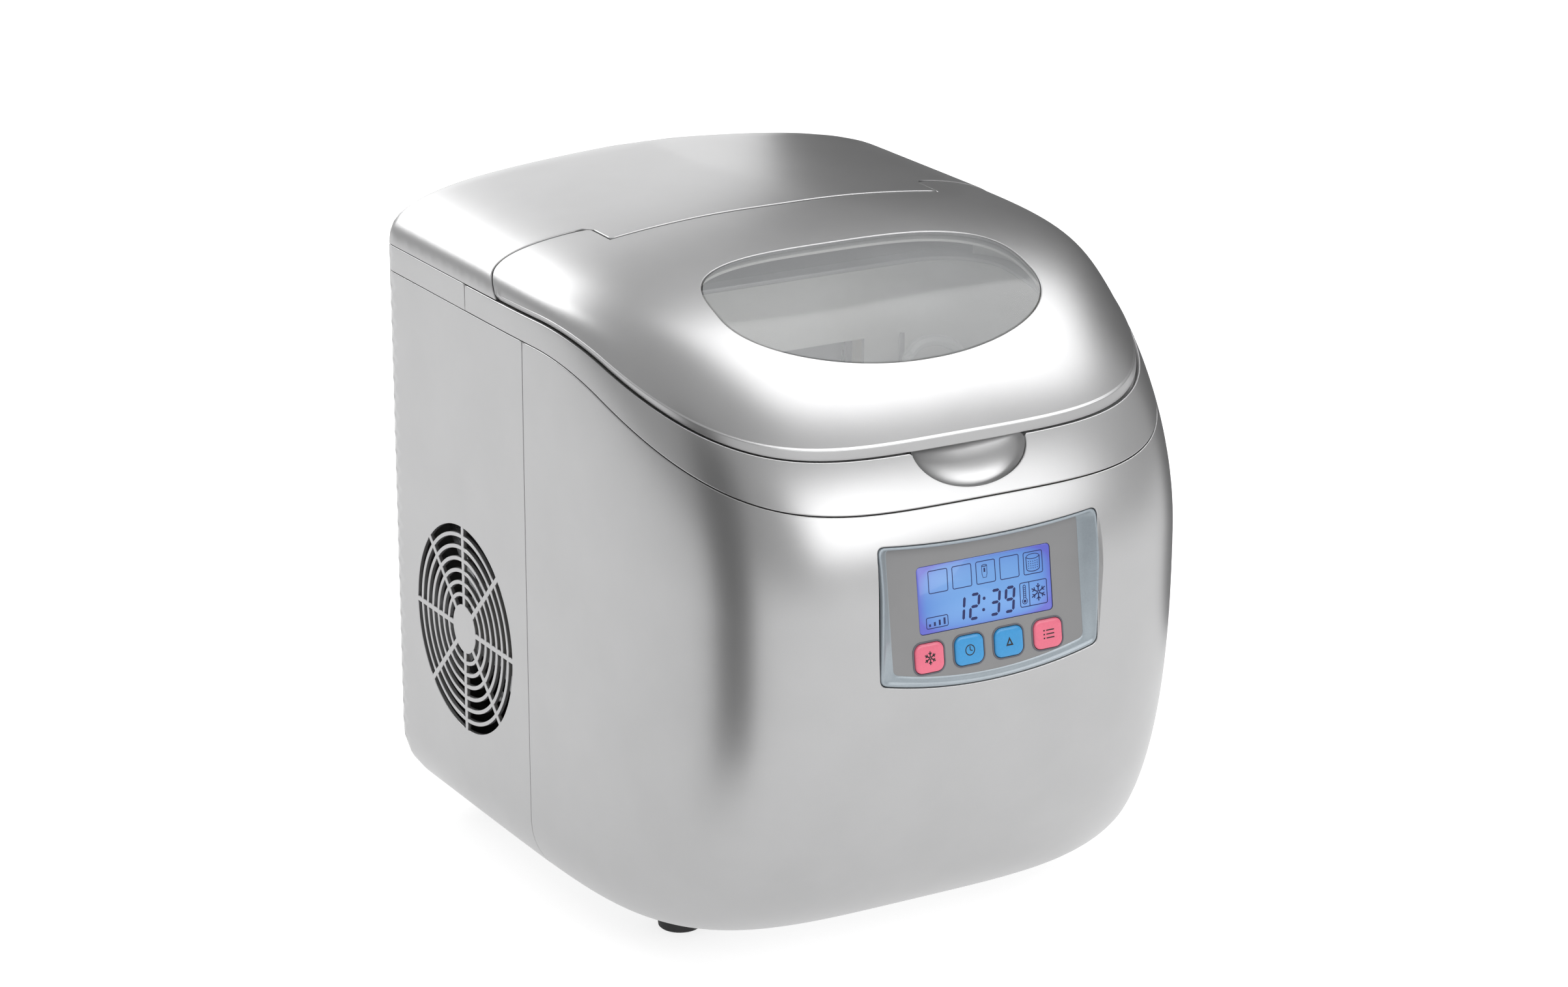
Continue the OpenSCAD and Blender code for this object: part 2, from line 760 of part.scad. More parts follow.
SIDE_SLOTS = 9;
slot_pitch = 22;
module ice_basket() color(white) {
    difference() {
        basket_outer(0, rest_z, basket_h);
        basket_outer(-basket_wall, rest_z + basket_wall, basket_h);
        // the back wall is lower, to let the ice in
        translate([-basket_w / 2 + 26, basket_y1 - 14, rest_z + low_wall])
            cube([basket_w - 52, 40, basket_h]);
        for (i = [0:SIDE_SLOTS - 1]) let (x = (i - (SIDE_SLOTS - 1) / 2) * slot_pitch) {
            translate([x, basket_y0, rest_z + basket_h / 2 - 6]) rotate([90, 0, 0])
                slot(9, 62, 4 * basket_wall);
            translate([x, basket_y1, rest_z + low_wall / 2]) rotate([90, 0, 0])
                slot(9, 42, 4 * basket_wall);
            translate([x, (basket_y0 + basket_y1) / 2, rest_z]) slot(8, 52, 4 * basket_wall);
        }
        for (y = [-1.5, -0.5, 0.5, 1.5]) for (s = [-1, 1])
            translate([s * basket_w / 2, (basket_y0 + basket_y1) / 2 + y * 11, rest_z + 48])
                rotate([0, 90, 0]) rotate([0, 0, 90]) slot(7, 56, 4 * basket_wall);
    }
}

module basket_handle() color(white) {
    translate([0, basket_y0 + basket_wall + 0.02, rest_z + basket_h - 12]) difference() {
        translate([-32, 0, 0]) cube([64, 14, 10]);
        translate([-28, -1, -1]) cube([56, 10.5, 8]);
    }
}

grate_r0 = pusher_r + 2;
grate_r1 = grate_r0 + 2.5;
GRATE_RIBS = 19;
module around_tray(from, to, r0, r1, w) {
    // an arc about the tray's axis: 0 is straight down, positive towards the back
    translate([0, tray_y, tray_z]) rotate([90, 0, 90]) rotate([0, 0, -90 + from])
        translate([0, 0, -w / 2]) rotate_extrude(angle = to - from)
            translate([r0, 0]) square([r1 - r0, w]);
}

module ice_grate() color(white) {
    for (i = [0:GRATE_RIBS - 1]) translate([(i - (GRATE_RIBS - 1) / 2) * 12, 0, 0])
        around_tray(-50, 64, grate_r0, grate_r1, 6);
    for (a = [-49.5, -18, 18, 57.5]) around_tray(a, a + 6, grate_r0 + 0.4, grate_r1 - 0.4, 18 * 12 + 2);
    for (s = [-1, 1]) translate([s * 9 * 12, 0, 0]) around_tray(-6, 6, grate_r1 - 0.5, grate_r1 + 4, 6);
    for (s = [-1, 1]) translate([s > 0 ? 106 : -tub_w / 2 + 0.2, tray_y - 18, tray_z - grate_r1 - 6])
        cube([tub_w / 2 - 106.2, 20, 5]);
}

tray_wall = 2;
module water_tray() color([0.85, 0.87, 0.9]) {
    around_tray(-78, 78, tray_r - tray_wall, tray_r, 2 * tray_half + 1);
    for (s = [-1, 1]) translate([s * (tray_half + 1.5) - 1.5, tray_y, tray_z]) intersection() {
        rotate([0, 90, 0]) cylinder(r = tray_r + 0.5, h = 3);
        translate([-1, -tray_r - 1, -tray_r - 1]) cube([5, 2 * tray_r + 2, tray_r + 9]);
    }
    translate([tray_half + 1, tray_y, tray_z]) rotate([0, 90, 0])
        cylinder(r = shaft_r, h = motor_x - 0.4 - tray_half - 1);
    translate([-tub_w / 2 - tub_wall, tray_y, tray_z]) rotate([0, 90, 0])
        cylinder(r = shaft_r, h = tub_w / 2 + tub_wall - tray_half - 1);
}

arm_x = tray_half + 5;
arm_t = 3.5;
PUSH_REST = 56;
module ice_pusher() color(white) {
    difference() {
        union() {
            for (s = [-1, 1]) translate([s * (arm_x + arm_t / 2), 0, 0]) {
                translate([-arm_t / 2, tray_y, tray_z]) rotate([0, 90, 0])
                    cylinder(r = shaft_r + 4, h = arm_t);
                around_tray(PUSH_REST - 8, PUSH_REST + 8, shaft_r + 2, pusher_r - 0.3, arm_t);
            }
            around_tray(PUSH_REST - 6, PUSH_REST + 6, tray_r + 3, tray_r + 6.5, 2 * arm_x + 1);
            for (i = [-8:8]) translate([i * 12, 0, 0])
                around_tray(PUSH_REST - 3.5, PUSH_REST + 3.5, tray_r + 5, pusher_r, 8);
        }
        shaft_holes(shaft_r + fit_gap);
    }
}

module tray_motor() color(steel) {
    translate([motor_x, tray_y - 22, tray_z - 20]) cube([13, 44, 40]);
    translate([motor_x + 13, tray_y, tray_z]) rotate([0, 90, 0]) cylinder(r = 14, h = 9);
    for (s = [-1, 1]) translate([motor_x, tray_y - 4 + s * 28 - 4, tray_z - 6]) cube([2, 16, 12]);
}

module shaft_bush() color(dark) {
    for (s = [-1, 1]) translate([s > 0 ? tub_w / 2 - 1 : -tub_w / 2 - tub_wall - 0.5, tray_y, tray_z])
        rotate([0, 90, 0]) difference() {
            union() {
                cylinder(r = shaft_r + 4, h = tub_wall + 1.5);
                translate([0, 0, s > 0 ? -2 : tub_wall + 1.5 - 0.01]) cylinder(r = shaft_r + 6, h = 2);
            }
            cylinder(r = shaft_r + fit_gap, h = 40, center = true);
        }
}

finger_r = 4;
plate_z = tray_z + tray_r + 6;
module evaporator() color(steel) {
    translate([-evap_half, tray_y - 9, plate_z]) cube([2 * evap_half, 18, 7]);
    for (i = [0:finger_count - 1]) translate([9 - evap_half + i * finger_pitch, tray_y, tray_z - 12]) {
        cylinder(r = finger_r, h = plate_z - tray_z + 12.5);
        translate([0, 0, -3]) cylinder(r1 = finger_r - 2, r2 = finger_r, h = 3.01);
    }
    for (y = [-1, 1]) translate([-evap_half, tray_y + y * 7, plate_z + 11]) rotate([0, 90, 0])
        cylinder(r = 4.2, h = 2 * evap_half);
}

evap_half = (finger_count - 1) * finger_pitch / 2 + 9;
module evaporator_brackets() color(steel) {
    for (s = [-1, 1]) translate([s > 0 ? evap_half + 0.05 : -evap_half - 3.05, 0, 0]) {
        translate([0, tray_y - 9, plate_z]) cube([3, tub_back - tray_y + 8.8, 9]);
        translate([0, tub_back - 2.2, plate_z - 12]) cube([3, 2, 40]);
    }
}

pump_x = tub_w / 2 - 34;
pump_y = -8;
riser_x = tub_w / 2 - 12;
module water_pump() color(dark) {
    translate([pump_x - 14, pump_y - 14, tub_floor + 0.2]) cube([28, 28, 30]);
    translate([pump_x, pump_y, tub_floor + 30]) cylinder(r = 9, h = 8);
    translate([pump_x, pump_y, tub_floor + 38]) cylinder(r = 4, h = 7);
}

module pump_hose() color([0.85, 0.88, 0.9]) {
    hose([[pump_x, pump_y, tub_floor + 45.2], [pump_x, pump_y, tub_floor + 56],
        [pump_x + 10, pump_y + 6, tub_floor + 76], [riser_x - 1, 0, tub_floor + 96],
        [riser_x, 0, tray_z - 8], [riser_x - 2, 0, tray_z + 32], [evap_half + 22, 2, plate_z + 24],
        [evap_half + 2, 3, plate_z + 29], [evap_half - 9, 4, plate_z + 20],
        [evap_half - 11, 4, plate_z]], 3.6);
}

probe_x = 50 - tub_w / 2;
module water_level_probe() color(steel) {
    for (i = [0, 1]) translate([probe_x + 8 + 10 * i, 10, tub_floor + 12]) cylinder(r = 1.5, h = 38.5);
    translate([probe_x, 5, tub_floor + 50]) cube([26, 10, 12]);
    translate([probe_x + 6, 14.5, tub_floor + 52]) cube([14, tub_back - 14.7, 8]);
}

sensor_y = -96;
sensor_z = rest_z + basket_h + 14;
module ice_full_sensors() color(dark) {
    for (s = [-1, 1]) translate([s > 0 ? tub_w / 2 - 7.2 : -tub_w / 2 + 0.2, sensor_y, sensor_z]) {
        cube([7, 18, 12]);
    }
}

// ---------- cooling ----------
pan_half = 128;
pan_front = -62;
pan_r = 30;
pan_back = back_y - 30;
pan_t = 3;
pan_top = base_z + 0.3 + pan_t;

module base_pan() color(silver) {
    difference() {
        union() {
            translate([0, 0, base_z + 0.3]) round_plan(-pan_half, pan_half, pan_front, pan_back, pan_r, pan_t);
            translate([0, 0, base_z + 0.3]) difference() {
                round_plan(-pan_half, pan_half, pan_front, pan_back, pan_r, 16);
                translate([0, 0, -1]) round_plan(-pan_half + 2.5, pan_half - 2.5,
                    pan_front + 2.5, pan_back - 2.5, pan_r - 2.5, 20);
            }
        }
        at_feet() translate([0, 0, base_z - 1]) cylinder(r = 2.6, h = 12);
    }
}

module at_feet() {
    for (s = [-1, 1]) for (y = [-foot_front, foot_rear]) translate([s * foot_x, y, 0]) children();
}

mount_h = 14;
mount_x = 42;
mount_y = 30;
plate_h = 3;
comp_z = pan_top + mount_h + plate_h;
comp_h = 118;

// compressor's shell: domed can with a weld belt
module compressor() color(dark) {
    translate([comp_x, comp_y, comp_z]) {
        rotate_extrude() polygon(concat(
            [[0, 0], [comp_r * 0.7, 0]],
            [for (g = [0:10:90]) [comp_r * 0.7 + comp_r * 0.3 * sin(g), 16 * (1 - cos(g))]],
            [[comp_r, comp_h * 0.5], [comp_r + 3, comp_h * 0.5], [comp_r + 3, comp_h * 0.5 + 4],
             [comp_r, comp_h * 0.5 + 4]],
            [for (g = [0:10:90]) [comp_r * 0.3 + comp_r * 0.7 * cos(g), comp_h - 30 + 30 * sin(g)]],
            [[0, comp_h]]));
    }
    translate([comp_x - mount_x - 11, comp_y - mount_y - 9, comp_z - plate_h])
        cube([2 * mount_x + 22, 2 * mount_y + 18, plate_h]);
    for (k = [[-30, -38, 12], [-14, -44, 12]]) translate([comp_x + k[0], comp_y + k[1], comp_z + 24])
        rotate([90, 0, 0]) cylinder(r = 4, h = k[2]);
}

module compressor_mounts() color([0.15, 0.15, 0.16]) {
    for (s = [-1, 1]) for (t = [-1, 1])
        translate([comp_x + s * mount_x, comp_y + t * mount_y, pan_top + 0.05]) difference() {
            rotate_extrude() polygon([[0, 0], [9, 0], [9, 5], [7, 7], [9, 9], [9, mount_h - 0.1],
                [0, mount_h - 0.1]]);
            translate([0, 0, -1]) cylinder(r = 3, h = mount_h + 2);
        }
}

module relay_box() color(white) {
    translate([comp_x - 17, comp_y - comp_r - 20.05, comp_z + 66]) cube([34, 20, 22]);
}

cond_x = -124;
cond_t = 34;
cond_w = 116;
cond_h = 120;
FINS = 19;
module condenser() color(steel) {
    translate([cond_x, fan_y - cond_w / 2, fan_z - cond_h / 2]) {
        for (i = [0:FINS - 1]) translate([0, 4 + i * (cond_w - 9) / (FINS - 1), 0])
            cube([cond_t, 1, cond_h]);
        for (y = [0, cond_w - 2]) translate([0, y, 0]) cube([cond_t, 2, cond_h]);
    }
    for (i = [0:5]) for (k = [0, 1])
        translate([cond_x + 9 + 16 * k, fan_y + cond_w / 2 + 4, fan_z - cond_h / 2 + 10 + 20 * i])
            rotate([90, 0, 0]) cylinder(r = 3.5, h = cond_w + 8);
}

fan_x = -half_w + 38;                // hub's outer end
module fan_bracket() color(steel) {
    translate([fan_x - 21, fan_y, fan_z]) rotate([0, 90, 0]) difference() {
        union() {
            cylinder(r = 26, h = 2.5);
            for (k = [0:3]) rotate([0, 0, 45 + 90 * k]) translate([0, -5, 0]) cube([72, 10, 2.5]);
        }
        translate([0, 0, -1]) cylinder(r = 8, h = 5);
    }
    for (k = [0:3]) translate([fan_x - 21, fan_y, fan_z]) rotate([45 + 90 * k, 0, 0])
        translate([0, -5, 68]) cube([cond_x - fan_x + 21 - 0.2, 10, 4]);
}

motor_r = 20;
module fan_motor() color([0.55, 0.56, 0.58]) {
    translate([fan_x - 18.4, fan_y, fan_z]) rotate([0, 90, 0]) {
        cylinder(r = motor_r, h = 16);
        cylinder(r = 3, h = 22);
    }
}

FAN_BLADES = 7;
module fan_blade() color(dark) {
    translate([fan_x - 1.6, fan_y, fan_z]) rotate([0, 90, 0]) difference() {
        union() {
            cylinder(r = 16, h = 13);
            for (k = [0:FAN_BLADES - 1]) rotate([0, 0, 360 * k / FAN_BLADES])
                translate([13, 0, 6.5]) rotate([30, 0, 0]) translate([0, -9, -0.9])
                    cube([fan_r - 13 - 1.5, 18, 1.8]);
        }
        translate([0, 0, -5]) cylinder(r = 3 + fit_gap, h = 12);
    }
}

drier_x = 12;
drier_y = 186;
module filter_drier() color(copper) {
    translate([drier_x, drier_y, 70]) rotate_extrude() polygon([[0, 0], [3, 0], [3, 8], [9, 18],
        [9, 78], [3, 88], [3, 96], [0, 96]]);
}

valve_x = -40;
valve_y = 176;
valve_z = 288;
module hot_gas_valve() color(steel) {
    translate([valve_x, valve_y, valve_z]) {
        cylinder(r = 8, h = 16);
        translate([-11, -11, 16]) cube([22, 22, 26]);
        translate([0, 0, 42]) cylinder(r = 5, h = 6);
        translate([0, 0, 6]) rotate([0, 90, 0]) cylinder(r = 3.5, h = 36, center = true);
    }
}

line_top = comp_z + 24;
cond_inlet = fan_z + cond_h / 2 - 10;
cond_end_y = fan_y + cond_w / 2 + 4;
stub_x = comp_x - 30;
suction_x = comp_x - 14;

// hot gas from the compressor to the condenser
module discharge_line() color(copper) {
    hose([[stub_x, comp_y - 50.2, line_top], [stub_x, comp_y - 56, line_top],
        [stub_x - 2, comp_y - 62, line_top + 4],
        [stub_x - 12, comp_y - 66, line_top + 40], [stub_x - 20, comp_y - 50, line_top + 110],
        [stub_x - 40, comp_y + 6, cond_inlet + 58], [cond_x + 60, cond_end_y + 14, cond_inlet + 36],
        [cond_x + 27, cond_end_y + 16, cond_inlet + 12], [cond_x + 25, cond_end_y + 9, cond_inlet],
        [cond_x + 25, cond_end_y + 0.2, cond_inlet]], 3);
}

// from the condenser to the drier
module liquid_line() color(copper) {
    hose([[cond_x + 25, cond_end_y + 0.2, cond_inlet - 100], [cond_x + 25, cond_end_y + 9, cond_inlet - 100],
        [cond_x + 50, cond_end_y + 16, cond_inlet - 118], [drier_x - 34, drier_y, 48],
        [drier_x - 6, drier_y, 44], [drier_x, drier_y, 52], [drier_x, drier_y, 69.8]], 3);
}

// thin line from the drier to the evaporator
module capillary_tube() color(copper) {
    hose([[drier_x, drier_y, 166.2], [drier_x, drier_y, 200], [drier_x - 2, drier_y - 16, 262],
        [10, 120, line_z + 4], [10, 70, line_z + 2], [10, 46, line_z],
        [10, tray_y + 17, plate_z + 17]], 2);
}

// from the evaporator back to the compressor
module suction_line() color(copper) {
    hose([[-30, tray_y + 18, plate_z + 17], [-30, 46, line_z], [-28, 66, line_z - 8],
        [-10, 68, line_z - 70], [30, 64, line_top + 100], [suction_x - 4, comp_y - 76, line_top + 40],
        [suction_x, comp_y - 70, line_top + 4], [suction_x, comp_y - 62, line_top],
        [suction_x, comp_y - 56.2, line_top]], 4);
}

// from the discharge line through the valve to the evaporator
module hot_gas_lines() color(copper) {
    hose([[valve_x + 18.2, valve_y, valve_z + 6], [valve_x + 26, valve_y, valve_z + 6],
        [stub_x - 42, comp_y + 20, valve_z + 4], [stub_x - 40, comp_y + 6, valve_z - 8],
        [stub_x - 40, comp_y + 6, cond_inlet + 61.5]], 3);
    hose([[valve_x - 18.2, valve_y, valve_z + 6], [valve_x - 26, valve_y, valve_z + 6],
        [valve_x - 36, valve_y - 20, valve_z + 12], [-62, 110, line_z], [-50, 66, line_z + 2],
        [-48, 46, line_z], [-48, tray_y + 18, plate_z + 17]], 3);
}

board_y = 60;
module board_bracket() color(steel) {
    translate([60, board_y - 8, 244]) cube([92, 2, 100]);
    translate([60, board_y - 14, 244]) cube([92, 8, 2]);
    for (x = [68, 144]) for (z = [252, 336]) translate([x, board_y - 6, z]) rotate([-90, 0, 0])
        cylinder(r = 3, h = 5.8);
}

module power_board() color([0.15, 0.45, 0.2]) {
    translate([62, board_y, 246]) cube([88, 1.6, 96]);
    translate([72, board_y + 1.6, 256]) cube([34, 28, 30]);
    translate([116, board_y + 1.6, 256]) cube([20, 16, 15]);
    translate([116, board_y + 1.6, 280]) cube([20, 16, 15]);
    for (z = [306, 322]) translate([80, board_y + 1.6, z]) rotate([-90, 0, 0]) cylinder(r = 6, h = 20);
    translate([100, board_y + 1.6, 316]) cube([40, 9, 10]);
}

module wiring_loom() color([0.2, 0.2, 0.22]) {
    x = -half_w;
    hose([[66, board_y + 1.8, 334], [66, board_y + 9, 334], [56, board_y + 18, 331], [-60, 62, 340],
        [x + 33, 56, 330], [x + 17, 30, 300], [x + 15, -40, 290], [x + 25, -110, 280], [x + 53, -165, 262],
        [-100, -186, 250], [-62, panel_y + board_back + 6, 250]], 2.6);
    hose([[x + 33, 60, 322], [x + 19, 66, 300], [x + 15, 78, 240], [fan_x - 14, fan_y - 6, fan_z + motor_r + 2.8]],
        1.8);
}

module drain_hose() color([0.85, 0.88, 0.9]) {
    hose([[tub_w / 2 - 40, -30, tub_floor - 3.2], [tub_w / 2 - 40, -30, tub_floor - 30],
        [tub_w / 2 - 20, -10, tub_floor - 48], [half_w - 46, drain_y - 14, drain_z + 2],
        [half_w - 34, drain_y, drain_z], [half_w - 22.2, drain_y, drain_z]], 5);
}

plug_r = 5.5;
module drain_spout() color(dark) {
    translate([half_w - 22, drain_y, drain_z]) rotate([0, 90, 0]) difference() {
        union() {
            cylinder(r = plug_r + 2, h = 21);
            translate([0, 0, 22 - cup_deep - 2]) cylinder(r = cup_r, h = cup_deep + 2);
        }
        translate([0, 0, 22 - cup_deep]) cylinder(r = cup_r - 1.5, h = 40);
        translate([0, 0, 2]) cylinder(r = plug_r, h = 40);
        translate([0, 0, -1]) cylinder(r = 3, h = 10);
    }
}

module drain_cap() color(dark) {
    translate([half_w - cup_deep + 0.2, drain_y, drain_z]) rotate([0, 90, 0]) {
        translate([0, 0, -8]) cylinder(r = plug_r - fit_gap, h = 8.5);
        cylinder(r = cup_r - 3, h = 2.5);
        translate([-1.5, -7, 2]) cube([3, 14, cup_deep - 2.8]);
    }
}

module cord_gland() color(dark) {
    translate([gland_x, back_y, gland_z]) rotate([90, 0, 0]) difference() {
        union() {
            translate([0, 0, -1]) cylinder(r = gland_r, h = wall + 5);
            translate([0, 0, -1.5]) cylinder(r = gland_r + 3, h = 1.45);
            translate([0, 0, wall + 0.05]) cylinder(r = gland_r + 2, h = 3);
        }
        translate([0, 0, -10]) cylinder(r = 3.6, h = 30);
    }
}

module rubber_feet() color(dark) {
    at_feet() difference() {
        rotate_extrude() polygon([[0, 0], [foot_r - 2.5, 0], [foot_r - 1.5, 1],
            [foot_r, foot_h - 0.05], [5.4, foot_h - 0.05], [5.4, foot_h + 0.25], [0, foot_h + 0.25]]);
        translate([0, 0, -1]) cylinder(r = 4.5, h = 7);
        cylinder(r = 2.6, h = 40);
    }
}

module foot_screws() color(steel) {
    at_feet() {
        translate([0, 0, 3.5]) cylinder(r = 4, h = 2.5);
        translate([0, 0, 5.9]) cylinder(r = 2.4, h = 16);
    }
}

module at_back_screws() {
    for (s = [-1, 1]) for (z = [60, band_z - 30]) translate([s * (half_w - 24), back_y, z])
        rotate([90, 0, 0]) children();
}

module back_screws() color(steel) {
    at_back_screws() {
        translate([0, 0, 0.2]) cylinder(r = 4, h = 1.05);
        translate([0, 0, 1.2]) cylinder(r = 1.8, h = 12);
    }
}

base_pan();
rear_housing();
front_shell();
top_frame();
rear_top_band();
rear_cover();
lid();
lid_window();
lid_inner_panel();
hinge_pins();
lid_seal();
panel_bezel();
panel_face();
display_module();
button_ice();
button_set();
button_timer();
button_select();
control_board();
tact_switches();
tub();
tub_foam();
ice_basket();
basket_handle();
ice_grate();
water_tray();
ice_pusher();
tray_motor();
shaft_bush();
evaporator();
evaporator_brackets();
water_pump();
pump_hose();
water_level_probe();
ice_full_sensors();
compressor();
compressor_mounts();
relay_box();
condenser();
fan_bracket();
fan_motor();
fan_blade();
filter_drier();
hot_gas_valve();
discharge_line();
liquid_line();
capillary_tube();
suction_line();
hot_gas_lines();
power_board();
board_bracket();
wiring_loom();
drain_hose();
drain_spout();
drain_cap();
cord_gland();
rubber_feet();
foot_screws();
back_screws();
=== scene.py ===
import bpy
import json
import math
import numpy as np
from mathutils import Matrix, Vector
from mathutils.geometry import delaunay_2d_cdt


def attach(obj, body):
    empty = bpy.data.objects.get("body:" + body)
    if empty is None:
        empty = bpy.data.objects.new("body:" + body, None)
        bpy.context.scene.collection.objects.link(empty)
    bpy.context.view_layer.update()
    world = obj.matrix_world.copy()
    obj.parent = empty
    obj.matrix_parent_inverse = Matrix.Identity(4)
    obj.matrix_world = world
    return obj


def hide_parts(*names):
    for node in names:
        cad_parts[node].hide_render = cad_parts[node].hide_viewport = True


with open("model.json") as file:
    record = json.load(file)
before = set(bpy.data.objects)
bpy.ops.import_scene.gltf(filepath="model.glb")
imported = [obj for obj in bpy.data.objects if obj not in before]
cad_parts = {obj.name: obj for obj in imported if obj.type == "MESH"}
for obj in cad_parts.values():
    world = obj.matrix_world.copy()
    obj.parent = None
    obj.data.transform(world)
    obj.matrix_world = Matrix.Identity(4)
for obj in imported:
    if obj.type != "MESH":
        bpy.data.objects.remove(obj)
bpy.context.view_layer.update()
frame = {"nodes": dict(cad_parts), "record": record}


# ---------- the body's skin, as in the CAD, in millimetres ----------
W, D, H, BASE = 366.0, 432.0, 425.0, 13.0
HALF = W / 2
BREAK_Y, BACK_RUN = 170.0, 46.0
BULGE_Z, CHIN, BELLY_R, SHOULDER = 247.0, 126.0, 46.0, 51.0
CORNER_R, TOP_ROUND, LOW_ROUND = 16.0, 14.0, 25.0
SEAM_Y, BAND_Z, LID_Z = 20.0, H - 61.0, H - 44.0
GAP = 0.4
FRAME_JOINT_Y = 96.0
MM = 0.001


def side_at(z):
    """Half the width at a height."""
    t = np.clip((z - (H - SHOULDER)) / SHOULDER, 0, 1)
    s = np.clip((BASE + BELLY_R - z) / BELLY_R, 0, 1)
    up = HALF * np.maximum(1 - t ** 4, 1e-9) ** 0.83
    return np.where(z > H - SHOULDER, up, HALF - BELLY_R + BELLY_R * np.sqrt(1 - s * s))


def reach_at(z):
    """How far the front stands out before BREAK_Y at a height."""
    full = BREAK_Y + D / 2
    u = np.clip((z - BULGE_Z) / (H - BULGE_Z), 0, 1)
    d = np.clip((BULGE_Z - z) / (BULGE_Z - BASE), 0, 1)
    up = full * np.maximum(1 - u * u, 1e-7) ** (1 / 3)
    return np.where(z >= BULGE_Z, up, full - CHIN * (1 - np.sqrt(np.maximum(1 - d ** 2.5, 0))))


def back_at(z):
    """How far the back stands out behind BREAK_Y at a height."""
    t = np.clip((z - (H - TOP_ROUND)) / TOP_ROUND, 0, 1)
    s = np.clip((BASE + LOW_ROUND - z) / LOW_ROUND, 0, 1)
    return BACK_RUN - TOP_ROUND * (1 - np.sqrt(1 - t * t)) - LOW_ROUND * (1 - np.sqrt(1 - s * s))


def outside(x, y, z):
    """Positive outside the skin, negative inside."""
    zc = np.clip(z, BASE, H)
    a, b, c = side_at(zc), reach_at(zc), back_at(zc)
    ax = np.abs(x)
    front = (ax / a) ** 4 + (np.maximum(BREAK_Y - y, 0) / b) ** 6 - 1
    r = np.minimum(np.minimum(CORNER_R, a), c)
    dx, dy = ax - (a - r), y - (BREAK_Y + c - r)
    corner = np.hypot(np.maximum(dx, 0), np.maximum(dy, 0)) / r - 1
    rear = np.where((dx > 0) & (dy > 0), corner, np.maximum(ax / a, (y - BREAK_Y) / c) - 1)
    f = np.where(y < BREAK_Y, front, rear)
    return np.where(z > H, 1.0, f)


def cast(origin, direction, reach=520.0):
    """Points where rays from inside leave the skin."""
    lo = np.zeros(len(direction))
    hi = np.full(len(direction), reach)
    for _ in range(42):
        mid = (lo + hi) / 2
        p = origin + direction * mid[:, None]
        out = outside(p[:, 0], p[:, 1], p[:, 2]) > 0
        hi = np.where(out, mid, hi)
        lo = np.where(out, lo, mid)
    return origin + direction * ((lo + hi) / 2)[:, None]


# the barrel chart: u is the azimuth about an upright axis, v runs up the wall and under the belly
BARREL_Y, BARREL_R = SEAM_Y, 190.0
ROLL = BELLY_R * math.pi / 2


def z_of_v(v):
    """Height at a distance v up the wall, which starts round under the belly."""
    return np.where(v < ROLL, BASE + BELLY_R * (1 - np.cos(np.clip(v, 0, ROLL) / BELLY_R)),
                    BASE + BELLY_R + v - ROLL)


def v_of_z(z):
    low = BELLY_R * np.arccos(np.clip(1 - (z - BASE) / BELLY_R, -1, 1))
    return np.where(z < BASE + BELLY_R, low, ROLL + z - BASE - BELLY_R)


def barrel(p):
    """Skin points of barrel chart points; below v = 0 the chart runs in flat under the belly."""
    az, v = p[:, 0] / BARREL_R, p[:, 1]
    z = np.maximum(z_of_v(v), BASE + 1e-3)
    d = np.stack([np.sin(az), -np.cos(az), np.zeros_like(az)], -1)
    o = np.stack([np.zeros_like(z), np.full_like(z, BARREL_Y), z], -1)
    q = cast(o, d)
    return q + d * np.minimum(v, 0)[:, None]


def to_barrel(q):
    az = np.unwrap(np.arctan2(q[:, 0], -(q[:, 1] - BARREL_Y)))
    return np.stack([az * BARREL_R, v_of_z(q[:, 2])], -1)


# the top chart: directions from a point inside, laid out by their angle from upright
TOP_C = np.array([0.0, 20.0, 150.0])
TOP_R = 270.0


def top(p):
    """Skin points of top chart points."""
    r = np.hypot(p[:, 0], p[:, 1]) / TOP_R
    a = np.arctan2(p[:, 1], p[:, 0])
    d = np.stack([np.sin(r) * np.cos(a), np.sin(r) * np.sin(a), np.cos(r)], -1)
    return cast(np.broadcast_to(TOP_C, d.shape), d)


def to_top(q):
    d = q - TOP_C
    d = d / np.linalg.norm(d, axis=1)[:, None]
    r = np.arccos(np.clip(d[:, 2], -1, 1))
    a = np.arctan2(d[:, 1], d[:, 0])
    return np.stack([r * TOP_R * np.cos(a), r * TOP_R * np.sin(a)], -1)


def chart_normals(chart, p, e=0.35):
    du = chart(p + [e, 0]) - chart(p - [e, 0])
    dv = chart(p + [0, e]) - chart(p - [0, e])
    n = np.cross(du, dv)
    return n / np.maximum(np.linalg.norm(n, axis=1), 1e-12)[:, None]


# ---------- seams ----------
BEND_R = 220.0


def seam_z(y, top_z, slope, y0):
    """A level seam that bends down to a slope in front of y0."""
    t = BEND_R * math.tan(slope / 2)
    g = np.clip((y0 + t - y) / BEND_R, 0, math.sin(slope))
    arc = top_z - BEND_R * (1 - np.sqrt(1 - g * g))
    line = top_z - (y0 - y) * math.tan(slope)
    return np.where(y < y0 + t - BEND_R * math.sin(slope), line, arc)


def band_z(y):
    return seam_z(y, BAND_Z, math.radians(20), -32.0)


def lid_z(y):
    return seam_z(y, LID_Z, math.radians(18.3), -31.0)


